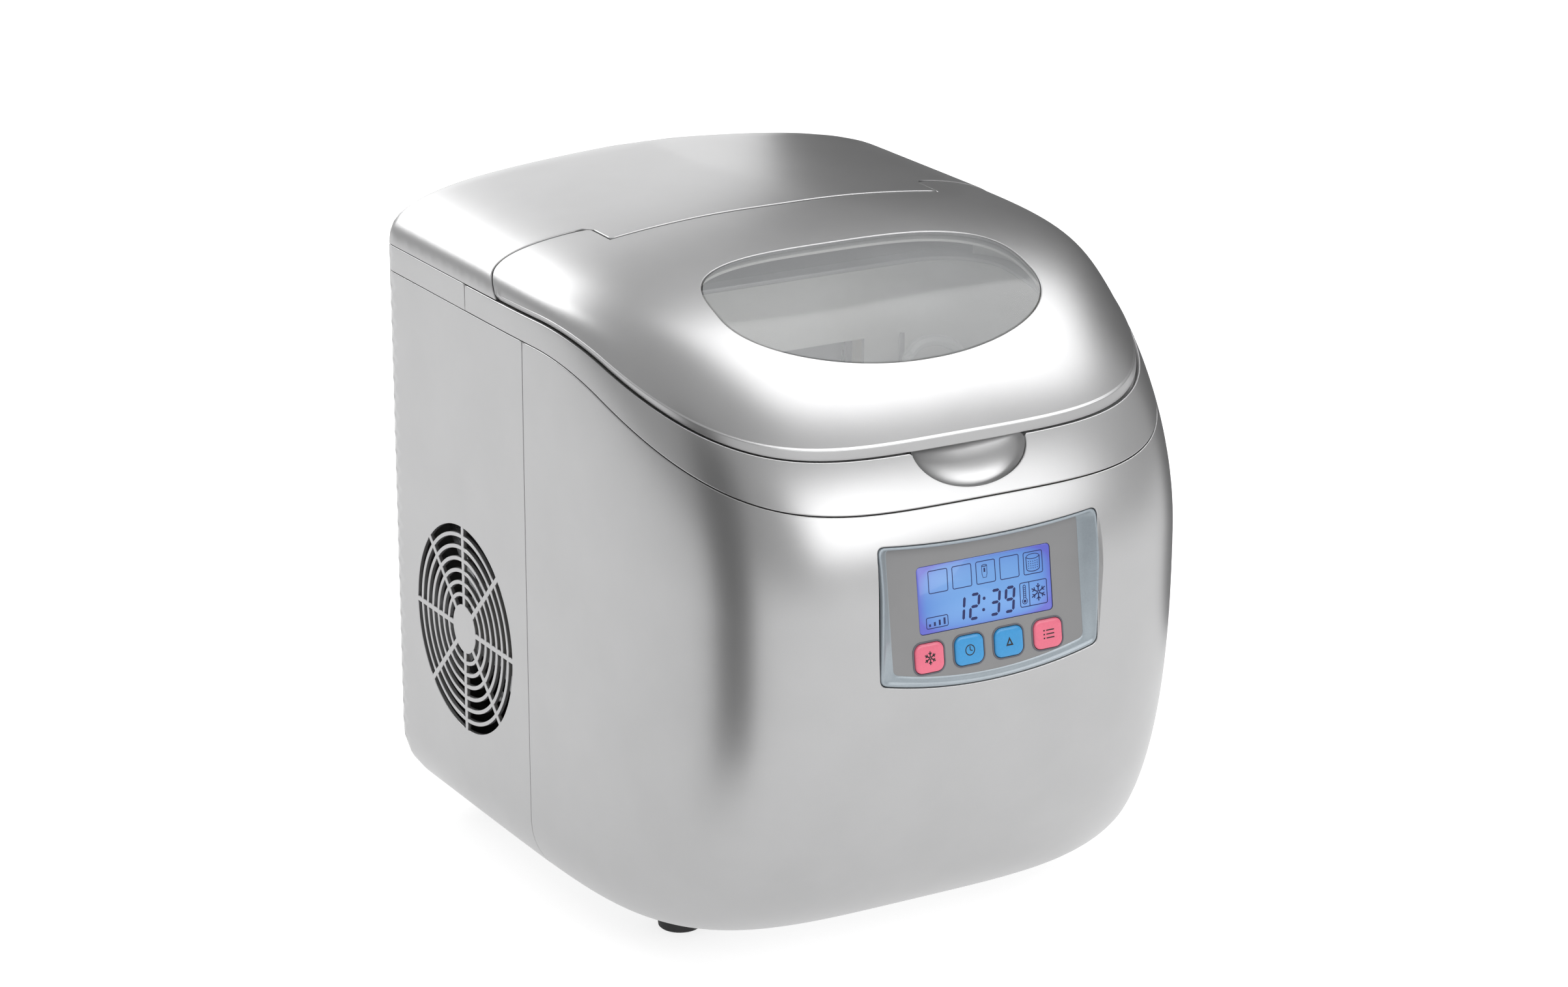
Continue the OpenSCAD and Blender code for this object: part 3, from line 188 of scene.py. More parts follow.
def on_seam(az, seam, lift):
    """Skin points on a seam curve, for azimuths about the barrel's axis."""
    az = np.asarray(az, float)
    lo, hi = np.full(len(az), 250.0), np.full(len(az), 400.0)
    d = np.stack([np.sin(az), -np.cos(az), np.zeros_like(az)], -1)
    for _ in range(34):
        mid = (lo + hi) / 2
        o = np.stack([np.zeros_like(az), np.full_like(az, BARREL_Y), mid], -1)
        q = cast(o, d)
        above = q[:, 2] > seam(q[:, 1]) + lift
        hi = np.where(above, mid, hi)
        lo = np.where(above, lo, mid)
    return q


def side_point(y, z, sign):
    """Skin point at given y and z on one side."""
    y, z = np.asarray(y, float), np.asarray(z, float)
    a, b = side_at(z), reach_at(z)
    f = np.maximum(1 - (np.maximum(BREAK_Y - y, 0) / b) ** 6, 0) ** 0.25
    return np.stack([sign * a * f, y, z], -1)


def height_at(x, y):
    """Skin points straight above plan points."""
    x, y = np.asarray(x, float), np.asarray(y, float)
    o = np.stack([x, y, np.full_like(x, 300.0)], -1)
    return cast(o, np.broadcast_to(np.array([0, 0, 1.0]), o.shape), 130)


def az_of(y):
    """Azimuth at which the side wall is at a given y behind the seam."""
    return math.pi / 2 + math.atan2(y - BARREL_Y, HALF)


# ---------- materials ----------
def new_mat(name):
    m = bpy.data.materials.new(name)
    m.use_nodes = True
    nt = m.node_tree
    return m, nt, nt.nodes["Principled BSDF"]


def node(nt, kind, **kw):
    n = nt.nodes.new(kind)
    for k, v in kw.items():
        if k in n.inputs:
            n.inputs[k].default_value = v
        else:
            setattr(n, k, v)
    return n


def set_inputs(b, values):
    for name, value in values.items():
        b.inputs[name].default_value = value


def noise(nt, tc, scale, detail=2.0):
    """Noise in the object's own space."""
    tex = node(nt, "ShaderNodeTexNoise", Scale=scale, Detail=detail)
    nt.links.new(tc.outputs["Object"], tex.inputs["Vector"])
    return tex.outputs[0]


def value_math(nt, operation, a, b=None):
    """A sum on a value, with a number or a second value."""
    m = node(nt, "ShaderNodeMath", operation=operation)
    nt.links.new(a, m.inputs[0])
    if isinstance(b, float):
        m.inputs[1].default_value = b
    elif b is not None:
        nt.links.new(b, m.inputs[1])
    return m.outputs[0]


def ramp(nt, src, stops):
    """A colour ramp on a value, from (position, rgb) stops."""
    r = nt.nodes.new("ShaderNodeValToRGB")
    els = r.color_ramp.elements
    while len(els) < len(stops):
        els.new(0.5)
    for e, (p, c) in zip(els, stops):
        e.position = p
        e.color = tuple(c) + (1,)
    nt.links.new(src, r.inputs[0])
    return r.outputs[0]


def finish_mat(name, color, vary=0.04, rough=0.4, rough_vary=0.06, metallic=0.0, scale=60.0, grain=900.0,
               bump=0.05, bump_scale=1400.0, coat=0.0, coat_rough=0.1, ior=1.45, bump_distance=0.0002):
    """Moulded or painted surface: broad tone drift, fine grain in the gloss and a fine bump."""
    m, nt, b = new_mat(name)
    tc = node(nt, "ShaderNodeTexCoord")
    broad, fine = noise(nt, tc, scale, 4.0), noise(nt, tc, grain)
    c = np.array(color)
    lo, hi = np.clip(c * (1 - vary), 0, 1), np.clip(c * (1 + vary), 0, 1)
    tone = value_math(nt, "MULTIPLY", value_math(nt, "ADD", broad, fine), 0.5)
    nt.links.new(ramp(nt, tone, [(0.35, lo), (0.65, hi)]), b.inputs["Base Color"])
    g0, g1 = max(rough - rough_vary, 0), min(rough + rough_vary, 1)
    nt.links.new(ramp(nt, fine, [(0.3, (g0,) * 3), (0.7, (g1,) * 3)]), b.inputs["Roughness"])
    if bump:
        bm = node(nt, "ShaderNodeBump", Strength=bump, Distance=bump_distance)
        nt.links.new(noise(nt, tc, bump_scale, 3.0), bm.inputs["Height"])
        nt.links.new(bm.outputs[0], b.inputs["Normal"])
    set_inputs(b, {"Metallic": metallic, "Coat Weight": coat, "Coat Roughness": coat_rough, "IOR": ior})
    return m


M = {}


def paint(slot, *settings, **more):
    M[slot] = finish_mat(*settings, **more)


paint("silver_shell", "silver_paint", (0.44, 0.44, 0.443), vary=0.03, rough=0.36, rough_vary=0.03,
      metallic=0.85, scale=25, grain=2600, bump=0.05, bump_scale=3200, coat=0.08,
      coat_rough=0.3)
paint("frame_inner", "silver_inner", (0.6, 0.605, 0.61), rough=0.45, metallic=0.5)
paint("white_liner", "white_moulding", (0.86, 0.86, 0.83), vary=0.02, rough=0.42, coat=0.1)
paint("basket_white", "basket_moulding", (0.9, 0.89, 0.84), vary=0.02, rough=0.36, coat=0.2)
paint("tray_grey", "tray_moulding", (0.7, 0.74, 0.8), rough=0.3, coat=0.2)
paint("bezel_clear", "frosted_bezel", (0.27, 0.31, 0.34), vary=0.05, rough=0.36, rough_vary=0.05,
      metallic=0.3, scale=120, grain=900, bump=0.06, bump_scale=900, coat=0.5)
paint("panel_grey", "panel_paint", (0.22, 0.22, 0.223), vary=0.02, rough=0.42, metallic=0.35,
      grain=2200, coat=0.1)
paint("key_pink", "key_pink", (0.68, 0.13, 0.2), vary=0.04, rough=0.34, coat=0.35, coat_rough=0.2)
paint("key_blue", "key_blue", (0.025, 0.25, 0.54), vary=0.05, rough=0.34, coat=0.35, coat_rough=0.2)
paint("key_edge", "key_outline", (0.1, 0.1, 0.12), rough=0.5)
paint("ink", "key_ink", (0.012, 0.012, 0.014), rough=0.6, bump=0.02)
paint("board_green", "solder_mask", (0.02, 0.17, 0.06), vary=0.3, rough=0.35, scale=300, coat=0.3)
paint("black_plastic", "black_moulding", (0.02, 0.02, 0.022), vary=0.2, rough=0.45, bump=0.15)
paint("foam", "rigid_foam", (0.82, 0.76, 0.6), vary=0.1, rough=0.9, bump=0.6, bump_scale=300,
      bump_distance=0.001)
paint("steel", "zinc_steel", (0.56, 0.57, 0.58), vary=0.12, rough=0.32, metallic=1.0, scale=200)
paint("pan_steel", "galvanised", (0.5, 0.51, 0.52), vary=0.2, rough=0.45, metallic=0.9, scale=90)
paint("cold_metal", "nickel", (0.72, 0.71, 0.7), vary=0.06, rough=0.22, metallic=1.0, scale=100)
paint("hose_clear", "milky_hose", (0.78, 0.8, 0.8), rough=0.3, coat=0.3)
paint("compressor_black", "black_enamel", (0.012, 0.012, 0.014), vary=0.3, rough=0.24, coat=0.5)
paint("rubber", "black_rubber", (0.025, 0.025, 0.026), vary=0.3, rough=0.75, bump=0.3, bump_scale=600)
paint("fin_aluminium", "fin_metal", (0.62, 0.63, 0.65), vary=0.08, rough=0.3, metallic=1.0)
paint("motor_grey", "motor_casting", (0.5, 0.51, 0.53), vary=0.1, rough=0.5, metallic=0.5)
paint("copper", "copper_tube", (0.62, 0.27, 0.13), vary=0.18, rough=0.28, metallic=1.0, scale=120)
paint("loom_black", "loom_sheath", (0.02, 0.02, 0.024), vary=0.3, rough=0.6, bump=0.3, bump_scale=500)
paint("window_smoke", "smoky_window", (0.5, 0.51, 0.52), vary=0.02, rough=0.1, rough_vary=0.02,
      bump=0.0, ior=1.3, coat=0.6, coat_rough=0.06)
paint("dial_dark", "segment_ink", (0.006, 0.012, 0.09), rough=0.5, bump=0.0)


def smoky(m):
    """Clear smoky sheet: part see-through, part milky, so that what is under it shows softly."""
    nt = m.node_tree
    haze = ramp(nt, noise(nt, node(nt, "ShaderNodeTexCoord"), 18.0), [(0.3, (0.24,) * 3), (0.7, (0.3,) * 3)])
    nt.links.new(haze, nt.nodes["Principled BSDF"].inputs["Alpha"])


smoky(M["window_smoke"])


def quartic(nt, value, centre, size):
    """((value - centre) / size) to the fourth, which stays low until near the edge."""
    share = value_math(nt, "DIVIDE", value_math(nt, "SUBTRACT", value, centre), size)
    return value_math(nt, "POWER", value_math(nt, "ABSOLUTE", share), 4.0)


def lcd_mat():
    """Backlit display: blue, a little brighter in the middle, violet at its edges."""
    m, nt, b = new_mat("backlit_display")
    sep = node(nt, "ShaderNodeSeparateXYZ")
    nt.links.new(node(nt, "ShaderNodeTexCoord").outputs["Object"], sep.inputs[0])
    across = quartic(nt, sep.outputs["X"], 0.0, LCD_GLOW[0])
    upward = quartic(nt, sep.outputs["Z"], LCD_CENTRE[2] * MM, LCD_GLOW[1])
    middle, between, edge = (0.11, 0.25, 0.52), (0.08, 0.19, 0.48), (0.08, 0.09, 0.42)
    col = ramp(nt, value_math(nt, "ADD", across, upward), [(0.0, middle), (0.55, between), (1.0, edge)])
    nt.links.new(col, b.inputs["Base Color"])
    nt.links.new(col, b.inputs["Emission Color"])
    set_inputs(b, {"Emission Strength": 0.32, "Roughness": 0.3, "Coat Weight": 0.3})
    return m


# ---------- mesh helpers ----------
HEX_ROW = 0.866
LEAST_AREA = 1e-7


def put(name, data):
    """A new object in the scene."""
    ob = bpy.data.objects.new(name, data)
    bpy.context.scene.collection.objects.link(ob)
    return ob


def add_object(name, verts, faces, body, slot, mat=None, replaces=(), normals=None, sharp=40.0):
    """A mesh piece on a body, in the slot's own material unless another is given."""
    me = bpy.data.meshes.new(name)
    me.from_pydata([tuple(v) for v in np.asarray(verts) * MM], [], faces)
    me.update()
    for p in me.polygons:
        p.use_smooth = True
    me.set_sharp_from_angle(angle=math.radians(sharp))
    if normals is not None:
        corners = [normals[i] for p in me.polygons for i in p.vertices]
        me.normals_split_custom_set([(0.0, 0.0, 0.0) if n is None else tuple(n) for n in corners])
    ob = put(name, me)
    me.materials.append(mat or M[slot])
    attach(ob, body)
    if replaces:
        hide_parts(*replaces)
    return ob


def inside_loops(p, loops):
    """Even-odd test of points against closed loops."""
    x, y = p[:, 0], p[:, 1]
    inside = np.zeros(len(p), bool)
    for loop in loops:
        a, b = loop, np.roll(loop, -1, 0)
        for (x0, y0), (x1, y1) in zip(a, b):
            if y0 == y1:
                continue
            hit = ((y0 > y) != (y1 > y)) & (x < (x1 - x0) * (y - y0) / (y1 - y0) + x0)
            inside ^= hit
    return inside


def near_loops(p, loops, h, block=400):
    """Which points lie within h of the loops' points, worked out in blocks to save memory."""
    near = np.zeros(len(p), bool)
    pts = np.concatenate(loops)
    for i in range(0, len(p), block):
        d = ((p[i:i + block, None, :] - pts[None]) ** 2).sum(-1).min(1)
        near[i:i + block] = d < h * h
    return near


def hex_grid(loops, h, extra, keep):
    """Hexagonal grid points inside the loops, clear of their edges and of the extra lines."""
    lo = np.min(np.concatenate(loops), 0)
    hi = np.max(np.concatenate(loops), 0)
    grid = []
    for j, y in enumerate(np.arange(lo[1] + 0.3 * h, hi[1], h * HEX_ROW)):
        xs = np.arange(lo[0] + (0.5 * h if j % 2 else 0) + 0.2 * h, hi[0], h)
        grid += [(x, y) for x in xs]
    grid = np.array(grid)
    grid = grid[inside_loops(grid, loops)]
    return grid[~near_loops(grid, list(loops) + list(extra), keep * h)]


def patch_mesh(loops, h, extra=(), keep=0.62):
    """Triangles over a region bounded by loops, with a hex grid inside."""
    verts, edges = [], []
    for loop in loops:
        n0 = len(verts)
        verts += [Vector(q) for q in loop]
        edges += [(n0 + i, n0 + (i + 1) % len(loop)) for i in range(len(loop))]
    for run in extra:
        n0 = len(verts)
        verts += [Vector(q) for q in run]
        edges += [(n0 + i, n0 + i + 1) for i in range(len(run) - 1)]
    verts += [Vector(q) for q in hex_grid(loops, h, extra, keep)]
    out = delaunay_2d_cdt(verts, edges, [], 0, 1e-5)
    pv = np.array([tuple(v) for v in out[0]])
    tri = np.array([f for f in out[2] if len(f) == 3])
    tri = tri[inside_loops(pv[tri].mean(1), loops)]
    a, b, c = pv[tri[:, 0]], pv[tri[:, 1]], pv[tri[:, 2]]
    area = (b[:, 0] - a[:, 0]) * (c[:, 1] - a[:, 1]) - (b[:, 1] - a[:, 1]) * (c[:, 0] - a[:, 0])
    solid = np.abs(area) > LEAST_AREA
    tri, area = tri[solid], area[solid]
    tri[area < 0] = tri[area < 0][:, ::-1]
    used = np.unique(tri)
    index = np.full(len(pv), -1)
    index[used] = np.arange(len(used))
    return pv[used], index[tri]


def boundary_loops(tri):
    """The triangles' open edges, chained into loops of vertex numbers."""
    sides = {(f[i], f[(i + 1) % 3]): True for f in tri for i in range(3)}
    nxt = {}
    for a, b in sides:
        if (b, a) not in sides:
            nxt.setdefault(a, []).append(b)
    loops = []
    while nxt:
        start = next(iter(nxt))
        loop, cur = [start], start
        while cur in nxt:
            b = nxt[cur].pop()
            if not nxt[cur]:
                del nxt[cur]
            if b == start:
                break
            loop.append(b)
            cur = b
        if len(loop) > 2:
            loops.append(loop)
    return loops


def unit_rows(v):
    return v / np.maximum(np.linalg.norm(v, axis=1), 1e-9)[:, None]


def bridge(a, b):
    """Faces between two loops of vertex numbers of the same length."""
    m = len(a)
    return [(a[k], b[k], b[(k + 1) % m], a[(k + 1) % m]) for k in range(m)]


def round_edge(loop, pos, nor, verts, normals, faces, inner_start, lip, lip_steps):
    """Rounds a shell's edge along a boundary loop, and closes it down to the inner face."""
    p, n = pos[loop], nor[loop]
    along = unit_rows(np.roll(p, -1, 0) - np.roll(p, 1, 0))
    d = unit_rows(np.cross(along, n))
    prev = list(loop)
    for k, i in enumerate(loop):
        verts[i] = p[k] - d[k] * lip
    for s in range(1, lip_steps + 1):
        g = math.pi / 2 * s / lip_steps
        start = len(verts)
        verts += list(p - d * lip + d * (lip * math.sin(g)) - n * (lip * (1 - math.cos(g))))
        normals += list(n * math.cos(g) + d * math.sin(g))
        cur = list(range(start, start + len(loop)))
        faces += bridge(prev, cur)
        prev = cur
    faces += bridge(prev, [i + inner_start for i in loop])


def shell_piece(name, chart, loops, body, slot, mat=None, h=5.0, offset=0.0, thick=2.4, lip=0.6, replaces=(),
                extra=(), shape=None, lip_steps=3):
    """A moulded shell over a region of a chart, with rounded edges and an inner face."""
    pv, tri = patch_mesh([np.asarray(q, float) for q in loops], h, [np.asarray(q, float) for q in extra])
    pos, nor = chart(pv), chart_normals(chart, pv)
    pos = pos + nor * offset
    if shape is not None:
        pos, nor = shape(pos, nor)
    inner_start = len(pos)
    verts = list(pos) + list(pos - nor * thick)
    normals = list(nor) + [None] * inner_start
    faces = [tuple(int(i) for i in f) for f in tri]
    faces += [tuple(int(i) + inner_start for i in f[::-1]) for f in tri]
    for loop in boundary_loops(tri):
        round_edge(loop, pos, nor, verts, normals, faces, inner_start, lip, lip_steps)
    return add_object(name, verts, faces, body, slot, mat, replaces, normals)


def loft_piece(name, rings, body, slot, mat=None, replaces=(), close=True, start=True, sharp=40.0):
    """Closed rings of the same length joined in turn, with its ends filled."""
    m = len(rings[0])
    verts = np.concatenate(rings)
    faces = []
    for r in range(len(rings) - 1):
        a, b = r * m, (r + 1) * m
        faces += [(a + k, a + (k + 1) % m, b + (k + 1) % m, b + k) for k in range(m)]
    if start:
        faces.append(tuple(range(m - 1, -1, -1)))
    if close:
        faces.append(tuple((len(rings) - 1) * m + k for k in range(m)))
    return add_object(name, verts, faces, body, slot, mat, replaces, sharp=sharp)


def rounded_rect(w, h, r, steps=6):
    pts = []
    x, y = w / 2 - r, h / 2 - r
    for cx, cy, a0 in ((x, y, 0), (-x, y, 90), (-x, -y, 180), (x, -y, 270)):
        for k in range(steps + 1):
            a = math.radians(a0 + 90 * k / steps)
            pts.append((cx + r * math.cos(a), cy + r * math.sin(a)))
    return np.array(pts)


def refine(loop, h):
    """A closed loop with points no further than h apart."""
    out = []
    loop = np.asarray(loop, float)
    for a, b in zip(loop, np.roll(loop, -1, 0)):
        n = max(1, int(math.ceil(np.linalg.norm(b - a) / h)))
        out += [a + (b - a) * k / n for k in range(n)]
    return np.array(out)


# ---------- outer shells ----------
# the opening for the base pan: x from and to, y from and to, corner radius
PAN = (-128.4, 128.4, -62.4, 186.4, 30.0)


def line(a, b, n):
    """n evenly spaced values from a to b."""
    return np.linspace(a, b, n)


def pan_edge(az):
    """Distance from the barrel's axis out to the edge of the pan's opening, along the azimuth."""
    x0, x1, y0, y1, r = PAN
    out = []
    for g in az:
        d = np.array([math.sin(g), -math.cos(g)])
        lo, hi = 0.0, 400.0
        for _ in range(40):
            mid = (lo + hi) / 2
            x, y = d * mid + [0, BARREL_Y]
            dx = max(x0 + r - x, x - (x1 - r), 0)
            dy = max(y0 + r - y, y - (y1 - r), 0)
            inside = math.hypot(dx, dy) <= r and x0 <= x <= x1 and y0 <= y <= y1
            lo, hi = (mid, hi) if inside else (lo, mid)
        out.append(lo)
    return np.array(out)


def belly_line(az):
    """The shell's lower edge in the barrel chart, round the pan's opening."""
    p = np.stack([np.asarray(az) * BARREL_R, np.zeros(len(az))], -1)
    ring = barrel(p)
    rad = np.hypot(ring[:, 0], ring[:, 1] - BARREL_Y)
    return np.stack([p[:, 0], -(rad - pan_edge(az))], -1)


PANEL = {"w": 148.0, "h": 91.0, "lean": math.radians(8), "z": 238.5, "y": -D / 2 + 8.5, "top_sag": 4.0,
         "low_sag": 9.0}
PX = np.array([1.0, 0, 0])
PY = np.array([0, math.sin(PANEL["lean"]), math.cos(PANEL["lean"])])
PN = np.array([0, -math.cos(PANEL["lean"]), math.sin(PANEL["lean"])])
P0 = np.array([0, PANEL["y"], PANEL["z"]])
DISPLAY_Y, BUTTON_Y, PITCH = 8.0, -25.5, 27.0
KEYS = [("ice", "key_pink"), ("set", "key_blue"), ("timer", "key_blue"), ("select", "key_pink")]
LCD_CENTRE = P0 + PY * DISPLAY_Y
LCD_GLOW = (0.046, 0.021)


def on_panel(q, z=0.0):
    q = np.asarray(q, float)
    return P0 + q[:, :1] * PX + q[:, 1:2] * PY + PN * z


def panel_loop(g, n=44, r=4.5):
    """Panel outline grown by g, corners rounded."""
    w, h = PANEL["w"] / 2 + g, PANEL["h"] / 2
    up = [(u * w, h + g - PANEL["top_sag"] * (1 - u * u)) for u in np.linspace(1, -1, n)]
    down = [(u * w, -h + PANEL["low_sag"] * u * u - g) for u in np.linspace(-1, 1, n)]
    raw = np.array(up + down)
    return round_corners(raw, r + g * 0.5)


def turns_sharply(a, b, c, limit):
    u, v = b - a, c - b
    u, v = u / np.linalg.norm(u), v / np.linalg.norm(v)
    return math.acos(max(-1, min(1, float(u @ v)))) > limit


def step_out(loop, i, way, r):
    """The point r away from a corner, towards the first point at least that far along the loop."""
    b, k = loop[i], i
    while np.linalg.norm(loop[k % len(loop)] - b) < r:
        k += way
    d = loop[k % len(loop)] - b
    return b + d / np.linalg.norm(d) * r


def round_corners(loop, r, steps=6, limit=0.5):
    """Replaces sharp corners of a dense loop with arcs of about r."""
    loop = np.asarray(loop, float)
    n = len(loop)
    sharp = [turns_sharply(loop[i - 1], loop[i], loop[(i + 1) % n], limit) for i in range(n)]
    corners = [loop[i] for i in range(n) if sharp[i]]
    out = []
    for i, b in enumerate(loop):
        if sharp[i]:
            p, q = step_out(loop, i, -1, r), step_out(loop, i, 1, r)
            ts = [s / steps for s in range(steps + 1)]
            out += [(1 - t) ** 2 * p + 2 * t * (1 - t) * b + t * t * q for t in ts]
        elif all(np.linalg.norm(b - c) >= r for c in corners):
            out.append(b)
    return np.array(out)


def panel_on_skin(loop):
    """Panel outline carried out along the panel's normal to the skin."""
    start = on_panel(loop, -6.0)
    return cast(start, np.broadcast_to(PN, start.shape), 60)


def side_line(u, v0, v1, n=60):
    """A straight end of a shell in the barrel chart, without its end points."""
    return np.stack([np.full(n, u), line(v0, v1, n)], -1)[1:-1]


def level_line(az, z):
    """A level edge in the barrel chart."""
    return np.stack([az * BARREL_R, np.full(len(az), float(v_of_z(np.array(z))))], -1)


def front_shell():
    az = line(-math.pi / 2 + 0.001, math.pi / 2 - 0.001, 150)
    low = belly_line(az)
    up = to_barrel(on_seam(az[::-1], band_z, -GAP / 2))
    up[:, 0] = az[::-1] * BARREL_R
    right = side_line(az[-1] * BARREL_R, low[-1, 1], up[0, 1])
    left = side_line(az[0] * BARREL_R, up[0, 1], low[-1, 1])
    outline = np.concatenate([low, right, up, left])
    hole = to_barrel(panel_on_skin(panel_loop(GAP)))
    shell_piece("front_shell_skin", barrel, [outline, hole], "cabinet", "silver_shell",
                replaces=["front_shell"], lip=0.7)


FAN_Y, FAN_Z, GRILLE_R, HUB = 108.0, 155.0, 67.0, 0.2 * 67.0
ROWS, SPOKES, HALF_SPOKE, SHORTEST_SLOT = 7, 8, 1.7, 3.0
LOUVRES, LOUVRE_PITCH, LOUVRE_W = 9, 10, 4
DRAIN_Y, DRAIN_Z, DRAIN_HOLE = 60, 76, 14.05
GLAND_X, GLAND_Z, GLAND_HOLE = -110, 62, 8.1
SCREW_IN, SCREW_Z, SCREW_HOLE = 24, (60, BAND_Z - 30), 4.2


def rear_chart(q):
    """Points of the rear half in the barrel chart, with azimuths from 0 to a full turn."""
    az = np.arctan2(q[:, 0], -(q[:, 1] - BARREL_Y))
    az = np.where(az < 0, az + 2 * math.pi, az)
    return np.stack([az * BARREL_R, v_of_z(q[:, 2])], -1)


def wall_loop(points, side):
    """Loop of (y, z) points on a side wall."""
    return rear_chart(np.array([[side * HALF, y, z] for y, z in points]))


def back_loop(points):
    """Loop of (x, z) points on the back."""
    return rear_chart(np.array([[x, D / 2, z] for x, z in points]))


def grille_loops():
    """The grille's slots as (y, z) loops, in rings between the spokes."""
    loops = []
    pitch = (GRILLE_R - HUB) / ROWS
    eighth = math.pi / SPOKES
    for row in range(ROWS):
        r0, r1 = HUB + (row + 0.32) * pitch, HUB + (row + 0.98) * pitch
        half0, half1 = eighth - HALF_SPOKE / r0, eighth - HALF_SPOKE / r1
        if half0 * r0 < SHORTEST_SLOT / 2:
            continue
        m = max(4, int(r1 * half1 * 2 / 3.2))
        for k in range(SPOKES):
            c = math.radians(22.5 + 45 * k)
            turns = [(r1, g) for g in np.linspace(-half1, half1, m)]
            turns += [(r0, g) for g in np.linspace(half0, -half0, m)]
            loops.append(np.array([(FAN_Y + r * math.cos(c + g), FAN_Z + r * math.sin(c + g))
                                   for r, g in turns]))
    return loops


def slot_loop(cy, cz, w, length, steps=6):
    """An upright slot with round ends."""
    pts = []
    for s, a0 in ((1, 0), (-1, 180)):
        for k in range(steps + 1):
            a = math.radians(a0 + 180 * k / steps)
            pts.append((cy + w / 2 * math.cos(a), cz + s * (length - w) / 2 + w / 2 * math.sin(a)))
    return np.array(pts)


def louvres(middle, z, length):
    """Slots side by side, from four pitches before the middle one."""
    first = middle - LOUVRE_PITCH * (LOUVRES // 2)
    return [slot_loop(first + LOUVRE_PITCH * i, z, LOUVRE_W, length) for i in range(LOUVRES)]


def disc_loop(cy, cz, r, n=28):
    return np.array([(cy + r * math.cos(2 * math.pi * k / n), cz + r * math.sin(2 * math.pi * k / n))
                     for k in range(n)])


def rear_housing():
    a0, a1 = math.pi / 2 + 0.001, 3 * math.pi / 2 - 0.001
    az = line(a0, a1, 200)
    low = belly_line(az)
    up = level_line(az[::-1], BAND_Z - GAP / 2)
    right = side_line(a1 * BARREL_R, low[-1, 1], up[0, 1])
    left = side_line(a0 * BARREL_R, up[0, 1], low[0, 1])
    outline = np.concatenate([low, right, up, left])
    holes = [wall_loop(q, -1) for q in grille_loops()]
    holes += [wall_loop(q, 1) for q in louvres(FAN_Y, FAN_Z + 10, 90)]
    holes += [back_loop(q) for q in louvres(72, FAN_Z + 40, 70)]
    holes.append(wall_loop(disc_loop(DRAIN_Y, DRAIN_Z, DRAIN_HOLE), 1))
    holes.append(back_loop(disc_loop(GLAND_X, GLAND_Z, GLAND_HOLE)))
    for s in (-1, 1):
        for z in SCREW_Z:
            holes.append(back_loop(disc_loop(s * (HALF - SCREW_IN), z, SCREW_HOLE, 20)))
    shell_piece("rear_housing_skin", barrel, [outline] + holes, "cabinet", "silver_shell", h=7.0,
                replaces=["rear_housing"], lip=0.45, lip_steps=2)


def band_strip():
    """The rear band between the housing and the cover, with the frame's joint at its front."""
    a0 = az_of(FRAME_JOINT_Y + GAP / 2)
    az = line(a0, 2 * math.pi - a0, 150)
    low, up = level_line(az, BAND_Z + GAP / 2), level_line(az[::-1], LID_Z - GAP / 2)
    right = side_line(az[-1] * BARREL_R, low[0, 1], up[0, 1], 6)
    left = side_line(az[0] * BARREL_R, up[0, 1], low[0, 1], 6)
    shell_piece("rear_band_skin", barrel, [np.concatenate([low, right, up, left])], "cabinet", "silver_shell",
                replaces=["rear_top_band"])


SCOOP_C = np.array([0, -186.1, 329.5])
SCOOP_LEAN = math.radians(56.5)
SCOOP_R = np.array([38.0, 26.0, 11.0])
SCOOP_WALL = 0.45
SCOOP_UP = np.array([0, math.cos(SCOOP_LEAN), math.sin(SCOOP_LEAN)])
SCOOP_IN = np.array([0, math.sin(SCOOP_LEAN), -math.cos(SCOOP_LEAN)])


def scoop_point(angle, rho):
    """A point of the dish: angle round its middle, rho out to its edge."""
    deep = math.sqrt(max(1 - rho * rho, 0))
    return (SCOOP_C + np.array([1.0, 0, 0]) * SCOOP_R[0] * rho * math.cos(angle)
            + SCOOP_UP * SCOOP_R[1] * rho * math.sin(angle) + SCOOP_IN * SCOOP_R[2] * deep)


def scoop_rho(angle, under_lid=False):
    """Where the dish meets the skin, or the level just under the lid's edge."""
    lo, hi = 0.05, 1.0
    for _ in range(30):
        mid = (lo + hi) / 2
        q = scoop_point(angle, mid)
        high = under_lid and q[2] > float(lid_z(np.array(q[1]))) - 1.4
        if high or outside(*(q[:, None]))[0] > 0:
            hi = mid
        else:
            lo = mid
    return (lo + hi) / 2


def in_dish(q, grow=1.2):
    """Whether a point lies in the dish or just under its face."""
    d = q - SCOOP_C
    local = np.array([d[0], d @ SCOOP_UP, d @ SCOOP_IN])
    share = local / (SCOOP_R + grow)
    return share @ share < 1


def scoop_rim():
    """The dish's edge on the skin, below the lid, from +x round to -x."""
    pts = []
    for g in np.radians(np.linspace(40, -220, 131)):
        q = scoop_point(g, scoop_rho(g))
        if q[2] < float(lid_z(np.array(q[1]))) - GAP / 2 - 0.8:
            pts.append(q)
    return np.array(pts)


